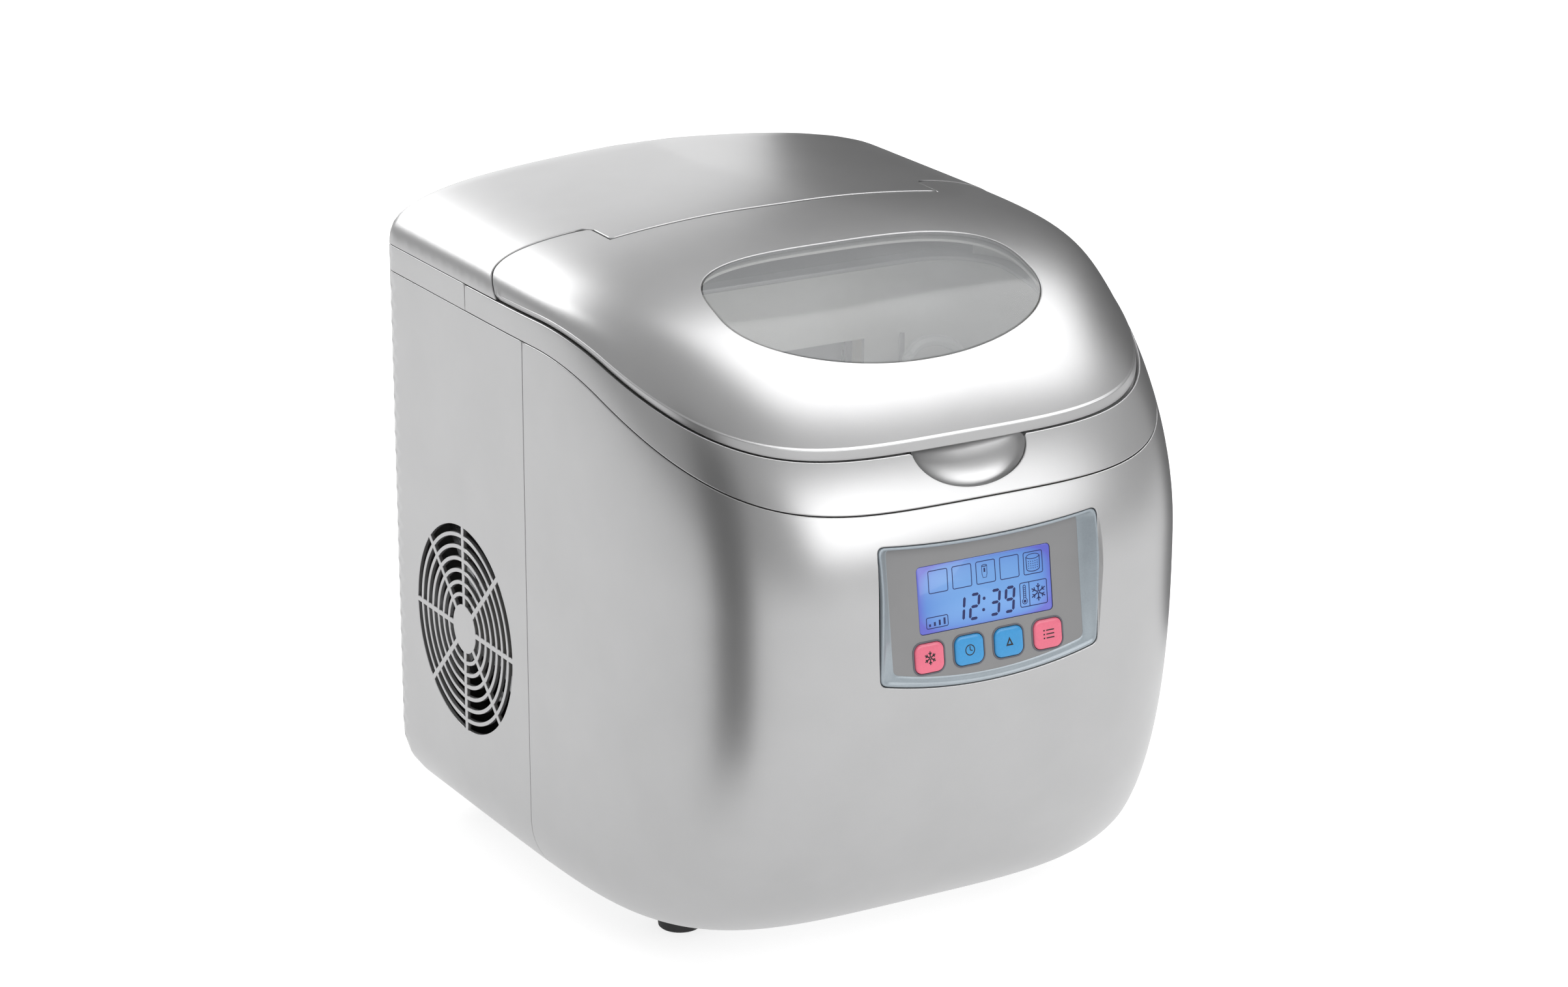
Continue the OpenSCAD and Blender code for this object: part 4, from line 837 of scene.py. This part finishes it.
def frame_strip():
    """The top frame's face between the seams, with the thumb scoop cut from its upper edge."""
    a1 = az_of(FRAME_JOINT_Y - GAP / 2)
    az = line(-a1, a1, 260)
    low = to_barrel(on_seam(az, band_z, GAP / 2))
    edge = on_seam(az[::-1], lid_z, -GAP / 2 - 0.3)
    up = to_barrel(edge)
    low[:, 0] = az * BARREL_R
    up[:, 0] = az[::-1] * BARREL_R
    rim = scoop_rim()
    cut = [i for i, q in enumerate(edge) if abs(q[0]) < abs(rim[0][0]) + 0.6]
    upper = np.concatenate([up[:cut[0]], to_barrel(rim), up[cut[-1] + 1:]])
    right = side_line(a1 * BARREL_R, low[-1, 1], upper[0, 1], 6)
    left = side_line(-a1 * BARREL_R, upper[-1, 1], low[0, 1], 6)
    outline = np.concatenate([low, right, upper, left])
    shell_piece("top_frame_skin", barrel, [outline], "cabinet", "silver_shell", h=4.0, replaces=["top_frame"],
                lip=0.8)


def scoop_bowl():
    """The dished half-moon under the lid's edge, as rings from its edge in to its floor."""
    around, deep = 60, 14
    verts = []
    for j in range(deep):
        for k in range(around):
            g = math.pi - 2 * math.pi * k / around
            rho = scoop_rho(g, True)
            verts.append(scoop_point(g, rho * (1 - j / deep) ** 0.8) + SCOOP_IN * SCOOP_WALL)
    faces = []
    for start in range(0, (deep - 1) * around, around):
        ring = list(range(start, start + around))
        faces += [(a, b, b + around, a + around) for a, b in zip(ring, ring[1:] + ring[:1])]
    faces.append(tuple(range((deep - 1) * around, deep * around)))
    add_object("thumb_scoop", verts, faces, "cabinet", "silver_shell", sharp=60)


HINGE_Y, HINGE_Z, EAR_R, EAR_FOOT_Y = 56.0, H - 22.0, 12.6, 52.0
TONGUE, TONGUE_Y = 115.0, 35.0


def ear_curve(g, low_z, sign, n=26):
    """The ear's rear edge from its lower corner up to the tongue's side, on the skin."""
    r = EAR_R + g
    foot = np.array([EAR_FOOT_Y + g, low_z])
    corner = np.array([HINGE_Y + r * math.cos(math.pi / 4), HINGE_Z - r * math.sin(math.pi / 4)])
    pts = [foot + (corner - foot) * t for t in np.linspace(0, 1, 8, endpoint=False)]
    for a in np.radians(np.linspace(-45, 84, n)):
        pts.append((HINGE_Y + r * math.cos(a), HINGE_Z + r * math.sin(a)))
    pts = np.array(pts)
    q = side_point(pts[:, 0], pts[:, 1], sign)
    return q[np.abs(q[:, 0]) > TONGUE + 0.6]


def tongue_front(half, y, n=60):
    """Skin points across the body at a given y."""
    x = np.linspace(-half, half, n)
    return height_at(x, np.full(n, y))


def lid_outline():
    """Lid outline as skin points, from the left ear's lower corner round the front."""
    a = az_of(EAR_FOOT_Y)
    edge = on_seam(line(-a, a, 250), lid_z, GAP / 2)
    right = ear_curve(0, LID_Z + GAP / 2, 1)
    left = ear_curve(0, LID_Z + GAP / 2, -1)[::-1]
    xr = TONGUE + 0.5
    ys = np.linspace(right[-1][1] - 2, TONGUE_Y - 1, 9)
    down = height_at(np.full(9, xr), ys)
    across = tongue_front(xr, TONGUE_Y - 1)[::-1][1:-1]
    up = height_at(np.full(9, -xr), ys[::-1])
    return np.concatenate([edge, right[1:], down, across, up, left[:-1]])


WINDOW_Y, WINDOW_HALF = -86, (107, 56)
WINDOW_REAR, WINDOW_FRONT = 3.2, 2.1


def window_plan(g, n=120):
    """The window's outline from above, grown by g: squarer at the rear than in front."""
    pts = []
    for i in range(n):
        a = 2 * math.pi * i / n
        k = 2 / WINDOW_REAR if math.sin(a) > 0 else 2 / WINDOW_FRONT
        x = math.copysign(abs(math.cos(a)) ** k, math.cos(a)) * (WINDOW_HALF[0] + g)
        y = WINDOW_Y + math.copysign(abs(math.sin(a)) ** k, math.sin(a)) * (WINDOW_HALF[1] + g)
        pts.append((x, y))
    return resample(np.array(pts), 3.2)


def resample_n(loop, n):
    """A closed loop with n evenly spaced points."""
    p = np.vstack([loop, loop[:1]])
    s = np.concatenate([[0], np.cumsum(np.linalg.norm(np.diff(p, axis=0), axis=1))])
    t = np.linspace(0, s[-1], n, endpoint=False)
    return np.stack([np.interp(t, s, p[:, i]) for i in range(p.shape[1])], -1)


def resample(loop, h):
    """A closed loop with evenly spaced points about h apart."""
    p = np.vstack([loop, loop[:1]])
    around = np.cumsum(np.linalg.norm(np.diff(p, axis=0), axis=1))[-1]
    return resample_n(loop, max(12, int(around / h)))


RIM_H, RIM_STEP, RIM_LEAN, STEP_H = 3.4, 0.4, 0.62, 1.1


def lid_shape(pos, nor):
    """The lid's body stands a little behind its rim, and the rim leans in towards its lower edge."""
    h = pos[:, 2] - lid_z(pos[:, 1])
    t = np.clip((h - RIM_H) / STEP_H, 0, 1)
    step = RIM_STEP * t * t * (3 - 2 * t)
    under = np.clip(RIM_H - h, 0, RIM_H) * RIM_LEAN
    slope = np.where((t > 0) & (t < 1), 6 * t * (1 - t) * RIM_STEP / STEP_H, 0)
    slope = np.where(h < RIM_H, -RIM_LEAN, slope)
    up = unit_rows(np.array([0, 0, 1.0]) - nor * nor[:, 2:3])
    return pos - nor * (step + under)[:, None], unit_rows(nor + up * slope[:, None])


def build_lid():
    a = az_of(46)
    az = line(-a, a, 230)
    rims = [to_top(on_seam(az, lid_z, RIM_H + dz)) for dz in (-0.15, 0.15, 0.6, 1.1)]
    win = window_plan(0.5)
    hole = to_top(height_at(win[:, 0], win[:, 1]))
    shell_piece("lid_skin", top, [to_top(lid_outline()), hole], "lid", "silver_shell", h=4.2,
                replaces=["lid"], lip=0.7, extra=rims, shape=lid_shape)
    win = window_plan(-0.2)
    pane = to_top(height_at(win[:, 0], win[:, 1]))
    shell_piece("lid_window_pane", top, [pane], "lid", "window_smoke", thick=2.2, offset=-RIM_STEP - 0.15,
                lip=0.3, replaces=["lid_window"], lip_steps=2)


def build_lining():
    outer = np.array([q for q in resample(mouth_plan(11), 5) if q[1] < 30])
    edge = height_at(outer[:, 0], outer[:, 1])
    win = window_plan(4.0)
    hole = height_at(win[:, 0], win[:, 1])
    shell_piece("lid_lining", top, [refine(to_top(edge), 5), to_top(hole)], "lid", "white_liner", h=7.0,
                offset=-7.2, thick=1.6, lip=0.5, replaces=["lid_inner_panel"])


def mouth_plan(g):
    """The mouth's outline from above, grown by g."""
    w, y0, y1, r = 136.0 + g, -148.0 - g, 30.0 + g, 42.0 + g
    loop = rounded_rect(2 * w, y1 - y0, r, 10)
    loop[:, 1] += (y0 + y1) / 2
    return loop


def build_cover():
    right = ear_curve(0.9, LID_Z + GAP / 2, 1)
    left = ear_curve(0.9, LID_Z + GAP / 2, -1)
    a0 = az_of(right[0][1] + 0.6)
    az = line(a0, 2 * math.pi - a0, 190)
    low = barrel(level_line(az, LID_Z + GAP / 2))
    xr = TONGUE - 0.1
    ys = np.linspace(HINGE_Y + 0.5, TONGUE_Y, 9)
    right_side = height_at(np.full(9, xr), ys)
    left_side = height_at(np.full(9, -xr), ys)
    across = tongue_front(xr, TONGUE_Y)[1:-1]
    top_r, top_l = [side[np.abs(side[:, 0]) > TONGUE + 1.5] for side in (right, left)]
    # low runs from the right side round the back to the left
    outline = np.concatenate([low, top_l[1:], left_side, across, right_side[::-1], top_r[::-1][:-1]])
    shell_piece("rear_cover_skin", top, [to_top(outline)], "cabinet", "silver_shell", replaces=["rear_cover"])


DECK_DROP = 6.0


def deck(p):
    """Points of the deck over plan points."""
    return np.stack([p[:, 0], p[:, 1], lid_z(p[:, 1]) - DECK_DROP], -1)


def build_deck():
    """The level deck round the mouth, under the lid."""
    a = az_of(44)
    az = line(-a, a, 200)
    q = on_seam(az, lid_z, -DECK_DROP)
    plan = q[:, :2] - np.stack([np.sin(az), -np.cos(az)], -1) * 2.0
    for p in plan:
        while in_dish(deck(p[None])[0]):
            p[1] += 0.25
    back = np.stack([line(plan[-1, 0], plan[0, 0], 70)[1:-1], np.full(68, plan[0, 1])], -1)
    outline = np.concatenate([plan, back])
    shell_piece("frame_deck", deck, [outline, refine(mouth_plan(0), 5)], "cabinet", "silver_shell",
                M["frame_inner"], h=8.0, lip=0.8)


# ---------- control panel ----------
def key_middle(i):
    return np.array([(i - 1.5) * PITCH, BUTTON_Y])


def flat(p):
    return on_panel(p, 0.0)


def build_bezel(count):
    """The frame round the panel: from its foot over a rounded crest down to the face plate."""
    def skin_ring(g, sink):
        return panel_on_skin(resample_n(panel_loop(g), count)) - PN * sink

    def flat_ring(top_in, low_in, side_in, z):
        return on_panel(inset(resample_n(panel_loop(-1.9), count), -1.9, top_in, low_in, side_in), z)

    rings = [skin_ring(-0.1, 3.0), skin_ring(-0.1, 0.9), skin_ring(-0.35, 0.35), skin_ring(-0.9, 0.2),
             skin_ring(-1.5, 0.45)]
    mid, inner = skin_ring(-1.9, 0.9), flat_ring(1.2, 3.2, 6.6, 0.35)
    rings.append(mid)
    rings += [mid * (1 - t) + inner * t for t in (0.35, 0.7, 1.0)]
    rings.append(flat_ring(1.8, 3.8, 7.2, 0.05))
    loft_piece("panel_bezel_frame", rings, "cabinet", "bezel_clear", replaces=["panel_bezel"], close=False,
               start=False, sharp=50)


def build_panel():
    count = len(resample(panel_loop(-0.05), 1.6))
    build_bezel(count)
    holes = [rounded_rect(91.0, 40.0, 2.6) + [0, DISPLAY_Y]]
    holes += [rounded_rect(20.0, 18.0, 5.0) + key_middle(i) for i in range(4)]
    outline = resample(inset(resample_n(panel_loop(-1.9), count), -1.9, 0.6, 2.8, 6.2), 3.0)
    shell_piece("panel_face_plate", flat, [outline] + [refine(q, 3) for q in holes], "cabinet", "panel_grey",
                h=6.0, thick=1.6, lip=0.25, lip_steps=2, replaces=["panel_face"])
    for i in range(4):
        a = rounded_rect(21.9, 19.9, 5.9) + key_middle(i)
        b = rounded_rect(20.2, 18.2, 5.1) + key_middle(i)
        rings = [on_panel(a, 0.0), on_panel(a, 0.28), on_panel(b, 0.28), on_panel(b, -0.6)]
        loft_piece("key_surround_%d" % i, rings, "cabinet", "black_plastic", M["key_edge"], start=False,
                   close=False, sharp=30)


def inset(loop, g, top_in, low_in, side_in):
    """The panel outline drawn in by different amounts at its top, bottom and sides."""
    w, h = PANEL["w"] / 2 + g, PANEL["h"] / 2 + g
    x = loop[:, 0] * (1 - side_in / w)
    y = np.where(loop[:, 1] > 0, loop[:, 1] * (1 - top_in / h), loop[:, 1] * (1 - low_in / h))
    return np.stack([x, y], -1)


def build_keys():
    # how far the crown is drawn in, and its height, from the key's foot to its middle
    crown = ((0, -3.5), (0, 0.2), (0.12, 0.55), (0.5, 0.95), (1.1, 1.18), (2.2, 1.3), (4.0, 1.37),
             (6.0, 1.39))
    for i, (name, slot) in enumerate(KEYS):
        c = key_middle(i)
        rings = [on_panel(rounded_rect(19.4 - 2 * g, 17.4 - 2 * g, max(4.7 - g, 1.2)) + c, z)
                 for g, z in crown]
        body = "key_" + name
        loft_piece("key_cap_" + name, rings, body, slot, replaces=["button_" + name], sharp=60)
        icon(name, c, body)


def strip(a, b, w):
    """A flat bar between two points."""
    a, b = np.array(a, float), np.array(b, float)
    d = (b - a) / np.linalg.norm(b - a)
    n = np.array([-d[1], d[0]]) * w / 2
    return np.array([a - n, b - n, b + n, a + n])


def plate(name, polys, z0, z1, body, slot, mat):
    """Flat raised marks on the panel's plane."""
    verts, faces = [], []
    for poly in polys:
        m, n0 = len(poly), len(verts)
        area = sum(poly[i - 1][0] * poly[i][1] - poly[i][0] * poly[i - 1][1] for i in range(m))
        if area < 0:
            poly = poly[::-1]
        verts += list(on_panel(poly, z0)) + list(on_panel(poly, z1))
        faces += [(n0 + k, n0 + (k + 1) % m, n0 + m + (k + 1) % m, n0 + m + k) for k in range(m)]
        faces.append(tuple(n0 + m + k for k in range(m)))
        faces.append(tuple(n0 + k for k in range(m - 1, -1, -1)))
    return add_object(name, verts, faces, body, slot, mat, sharp=30)


def ring_polys(loop, w):
    """A thin outline along a closed loop, as short bars; w goes inwards."""
    n = len(loop)
    inner = []
    for i in range(n):
        along = loop[(i + 1) % n] - loop[i - 1]
        t = along / max(np.linalg.norm(along), 1e-9)
        inner.append(loop[i] + np.array([-t[1], t[0]]) * w)
    return [np.array([loop[i], loop[(i + 1) % n], inner[(i + 1) % n], inner[i]]) for i in range(n)]


def flake(c, r, w):
    """A six-armed snow flake of bars."""
    polys = []
    c = np.array(c, float)
    for k in range(6):
        a = math.radians(30 + 60 * k)
        d = np.array([math.cos(a), math.sin(a)])
        polys.append(strip(c + d * r * 0.08, c + d * r, w))
        fork = c + d * r * 0.55
        for s in (-1, 1):
            b = a + s * math.radians(50)
            e = np.array([math.cos(b), math.sin(b)])
            polys.append(strip(fork, fork + e * r * 0.34, w * 0.8))
    return polys


def icon(name, c, body):
    """A key's printed mark: a flake, a pointer, a clock dial or lines."""
    if name == "ice":
        polys = flake(c, 4.0, 0.75)
    elif name == "timer":
        tri = np.array([(-2.5, -2.2), (2.5, -2.2), (0, 3.0)]) + c
        inner = (tri - c) * 0.45 + c + [0, -0.25]
        polys = [np.array([tri[i], tri[(i + 1) % 3], inner[(i + 1) % 3], inner[i]]) for i in range(3)]
    elif name == "set":
        polys = ring_polys(arc(3.3, 3.3, 0, 2 * math.pi, 28)[:-1] + c, 0.6)
        polys += [strip(c, c + [0, 2.3], 0.6), strip(c, c + [1.6, -0.6], 0.6)]
    else:
        polys = []
        for y in (-2.3, 0.0, 2.3):
            polys.append(strip(c + [-3.6, y], c + [-2.6, y], 0.9))
            polys.append(strip(c + [-1.6, y], c + [3.8, y], 0.7))
    plate("key_mark_" + name, polys, 1.2, 1.46, body, "black_plastic", M["ink"])


SEG = {"1": "bc", "2": "abged", "3": "abgcd", "9": "abcdfg"}
SEGMENT_GAP, DIGIT_LEAN = 0.35, 0.12


def bar(p, q, t):
    """One pointed segment of a digit."""
    p, q = np.array(p, float), np.array(q, float)
    d = (q - p) / np.linalg.norm(q - p)
    n = np.array([-d[1], d[0]])
    p, q, e = p + d * SEGMENT_GAP, q - d * SEGMENT_GAP, t / 2
    return np.array([p, p + d * e + n * e, q - d * e + n * e, q, q - d * e - n * e, p + d * e - n * e])


def digit(ch, x, y, w, h, t=1.7):
    """The lit segments of a digit, leaning a little to the right."""
    half = h / 2
    ends = {"a": ((x, y + h), (x + w, y + h)), "b": ((x + w, y + half), (x + w, y + h)),
            "c": ((x + w, y), (x + w, y + half)), "d": ((x, y), (x + w, y)), "e": ((x, y), (x, y + half)),
            "f": ((x, y + half), (x, y + h)), "g": ((x, y + half), (x + w, y + half))}
    polys = [bar(*ends[s], t) for s in SEG[ch]]
    for poly in polys:
        poly[:, 0] += (poly[:, 1] - y) * DIGIT_LEAN
    return polys


def cup_and_boxes(o):
    """Five boxes along the top, with a cup in the third."""
    polys = []
    for i in range(5):
        box = rounded_rect(13.3, 13.6, 1.2, 3) + o + [-31.2 + 16.2 * i, 10.0]
        polys += ring_polys(box, 0.5)
    cup = np.array([(-1.9, 3.6), (-1.9, -1.4), (-1.2, -3.6), (1.2, -3.6), (1.9, -1.4), (1.9, 3.6)])[::-1]
    polys += ring_polys(cup + o + [0.4, 10.2], -0.35)
    polys += ring_polys(ellipse(1.9, 0.8) + o + [0.4, 13.8], 0.35)
    polys.append(strip(o + [0.4, 12.4], o + [0.4, 10.0], 1.1))
    return polys


def bucket(b):
    """A bucket of ice, in the fifth box."""
    polys = ring_polys(ellipse(4.6, 1.7) + b + [0, 4.0], 0.42)
    polys += [strip(b + [s * 4.6, 4.0], b + [s * 4.4, -3.2], 0.5) for s in (-1, 1)]
    low = arc(4.4, 1.7, math.pi, 2 * math.pi, 14) + b + [0, -3.2]
    polys += [strip(p, q, 0.5) for p, q in zip(low, low[1:])]
    for r in range(4):
        for c in range(5):
            p = b + [-3.0 + 1.5 * c, 1.2 - 1.35 * r - 0.12 * (2 - abs(c - 2))]
            polys.append(rounded_rect(0.6, 0.6, 0.28, 2) + p)
    return polys


def clock(o):
    polys = []
    for ch, x in (("1", -21.2), ("2", -11.2), ("3", 2.8), ("9", 12.8)):
        polys += digit(ch, x, DISPLAY_Y - 16.0, 5.5, 14.0)
    for dy in (-12.0, -5.4):
        polys.append(rounded_rect(1.9, 1.9, 0.85, 4) + o + [-2.2 + (dy + 16.0) * DIGIT_LEAN, dy])
    return polys


def thermometer_and_flake(o):
    polys = ring_polys(rounded_rect(19.0, 14.8, 1.3, 3) + o + [32.9, -8.1], 0.5)
    polys.append(strip(o + [30.0, -15.3], o + [30.0, -0.9], 0.5))
    t = o + [26.7, -7.7]
    stem, bulb = arc(1.0, 1.0, 0, math.pi, 8), arc(1.9, 1.9, math.pi * 0.68, math.pi * 2.32, 16)
    polys += ring_polys(np.concatenate([stem + [0, 4.6], bulb + [0, -4.2]]) + t, 0.42)
    polys.append(ellipse(0.95, 0.95) + t + [0, -4.2])
    for k in range(6):
        polys.append(strip(t + [-0.5, 3.8 - 1.2 * k], t + [0.5, 3.8 - 1.2 * k], 0.4))
    return polys + flake(o + [36.2, -8.0], 5.2, 0.75)


def lit_tag(o):
    """A small tag with four bars of growing height."""
    polys = ring_polys(rounded_rect(15.0, 6.9, 1.2, 3) + o + [-33.3, -13.7], 0.5)
    for k in range(4):
        x = -38.3 + 3.3 * k
        polys.append(strip(o + [x, -15.8], o + [x, -15.8 + 1.5 + 0.8 * k], 1.3))
    return polys


def build_display():
    z = -0.35
    o = np.array([0, DISPLAY_Y])
    foot, face = rounded_rect(90.4, 39.4, 2.2) + o, rounded_rect(90.0, 39.0, 2.1) + o
    rings = [on_panel(foot, -6.5), on_panel(foot, z - 0.15), on_panel(face, z)]
    loft_piece("display_glass", rings, "cabinet", "display_blue", lcd_mat(), ["display_module"], sharp=50)
    polys = cup_and_boxes(o) + bucket(o + [33.6, 9.8]) + clock(o) + thermometer_and_flake(o) + lit_tag(o)
    plate("display_segments", polys, z - 0.02, z + 0.06, "cabinet", "black_plastic", M["dial_dark"])


def ellipse(a, b, n=20):
    turns = [2 * math.pi * k / n for k in range(n)]
    return np.array([(a * math.cos(g), b * math.sin(g)) for g in turns])


def arc(a, b, start, end, n):
    return np.array([(a * math.cos(g), b * math.sin(g)) for g in np.linspace(start, end, n)])


# ---------- carried-over CAD nodes ----------
def dress_cad():
    """Gives the CAD nodes that show the materials of their slots."""
    slots = {s["node"]: s["material_slot"] for s in frame["record"]["subparts"]}
    for name, ob in frame["nodes"].items():
        slot = slots.get(name)
        if slot in M and not ob.hide_render:
            ob.data.materials.clear()
            ob.data.materials.append(M[slot])


# ---------- camera, lights, floor ----------
CAMERA_PLACE = (-1.25455, -2.15379, 1.07481)
CAMERA_TURN, CAMERA_PITCH, LENS = math.radians(29.92), math.radians(18.417), 97.85


def build_stage():
    me = bpy.data.meshes.new("floor")
    s = 7.0
    me.from_pydata([(-s, -s, 0), (s, -s, 0), (s, s, 0), (-s, s, 0)], [], [(0, 1, 2, 3)])
    floor = put("floor", me)
    m, nt, b = new_mat("pale_floor")
    drift = noise(nt, node(nt, "ShaderNodeTexCoord"), 3.0)
    tone = ramp(nt, drift, [(0.3, (0.4,) * 3), (0.7, (0.41,) * 3)])
    nt.links.new(tone, b.inputs["Base Color"])
    nt.links.new(tone, b.inputs["Emission Color"])
    set_inputs(b, {"Emission Strength": 1.9, "Roughness": 0.9, "Specular IOR Level": 0.05})
    me.materials.append(m)

    bpy.context.scene.view_settings.view_transform = "Standard"
    world = bpy.data.worlds.new("studio")
    bpy.context.scene.world = world
    world.use_nodes = True
    bg = world.node_tree.nodes["Background"]
    bg.inputs[0].default_value = (1, 1, 1, 1)
    bg.inputs[1].default_value = 0.5

    soft_box("overhead", (0.85, 0.05, 2.0), (1.3, 1.3), 19)
    soft_box("behind_left", (-0.6, 2.2, 1.7), (2.0, 1.1), 34)
    soft_box("behind_right", (0.9, 2.6, 1.0), (1.6, 1.0), 6)
    soft_box("front_wide", (0.5, -2.1, 1.3), (2.0, 1.3), 27)
    dark_card("card_left", math.radians(-58), 0.44, 0.16, 0.6)
    dark_card("card_right", math.radians(116), 0.5, 0.7, 0.8)


def soft_box(name, loc, size, power):
    data = bpy.data.lights.new(name, "AREA")
    data.shape = "RECTANGLE"
    data.size, data.size_y = size
    data.energy = power
    ob = put(name, data)
    ob.location = loc
    ob.rotation_euler = (Vector((0, 0, 0.25)) - Vector(loc)).to_track_quat("-Z", "Y").to_euler()
    ob.visible_camera = False


def dark_card(name, az, away, width, height):
    """A dark upright card that only reflections see, for the soft dark bands on the corners."""
    me = bpy.data.meshes.new(name)
    w = width / 2
    me.from_pydata([(-w, 0, 0.01), (w, 0, 0.01), (w, 0, height), (-w, 0, height)], [], [(0, 1, 2, 3)])
    card = put(name, me)
    m, nt, b = new_mat(name + "_black")
    set_inputs(b, {"Base Color": (0.01, 0.01, 0.01, 1), "Specular IOR Level": 0.0})
    me.materials.append(m)
    card.location = (math.sin(az) * away, -math.cos(az) * away, 0)
    card.rotation_euler = (0, 0, az)
    card.visible_camera = False
    card.visible_diffuse = False
    card.visible_shadow = False
    card.visible_transmission = False


def build_camera():
    cam = bpy.data.cameras.new("camera")
    ob = put("camera", cam)
    ob.location = CAMERA_PLACE
    turn, pitch = CAMERA_TURN, CAMERA_PITCH
    d = Vector((math.sin(turn) * math.cos(pitch), math.cos(turn) * math.cos(pitch), -math.sin(pitch)))
    ob.rotation_euler = d.to_track_quat("-Z", "Y").to_euler()
    cam.sensor_width = 36.0
    cam.lens = LENS
    cam.shift_x = 0.0
    cam.shift_y = 0.0
    cam.clip_end = 50
    bpy.context.scene.camera = ob


build_stage()
build_camera()
front_shell()
rear_housing()
band_strip()
frame_strip()
scoop_bowl()
build_deck()
build_lid()
build_lining()
build_cover()
build_panel()
build_keys()
build_display()
dress_cad()
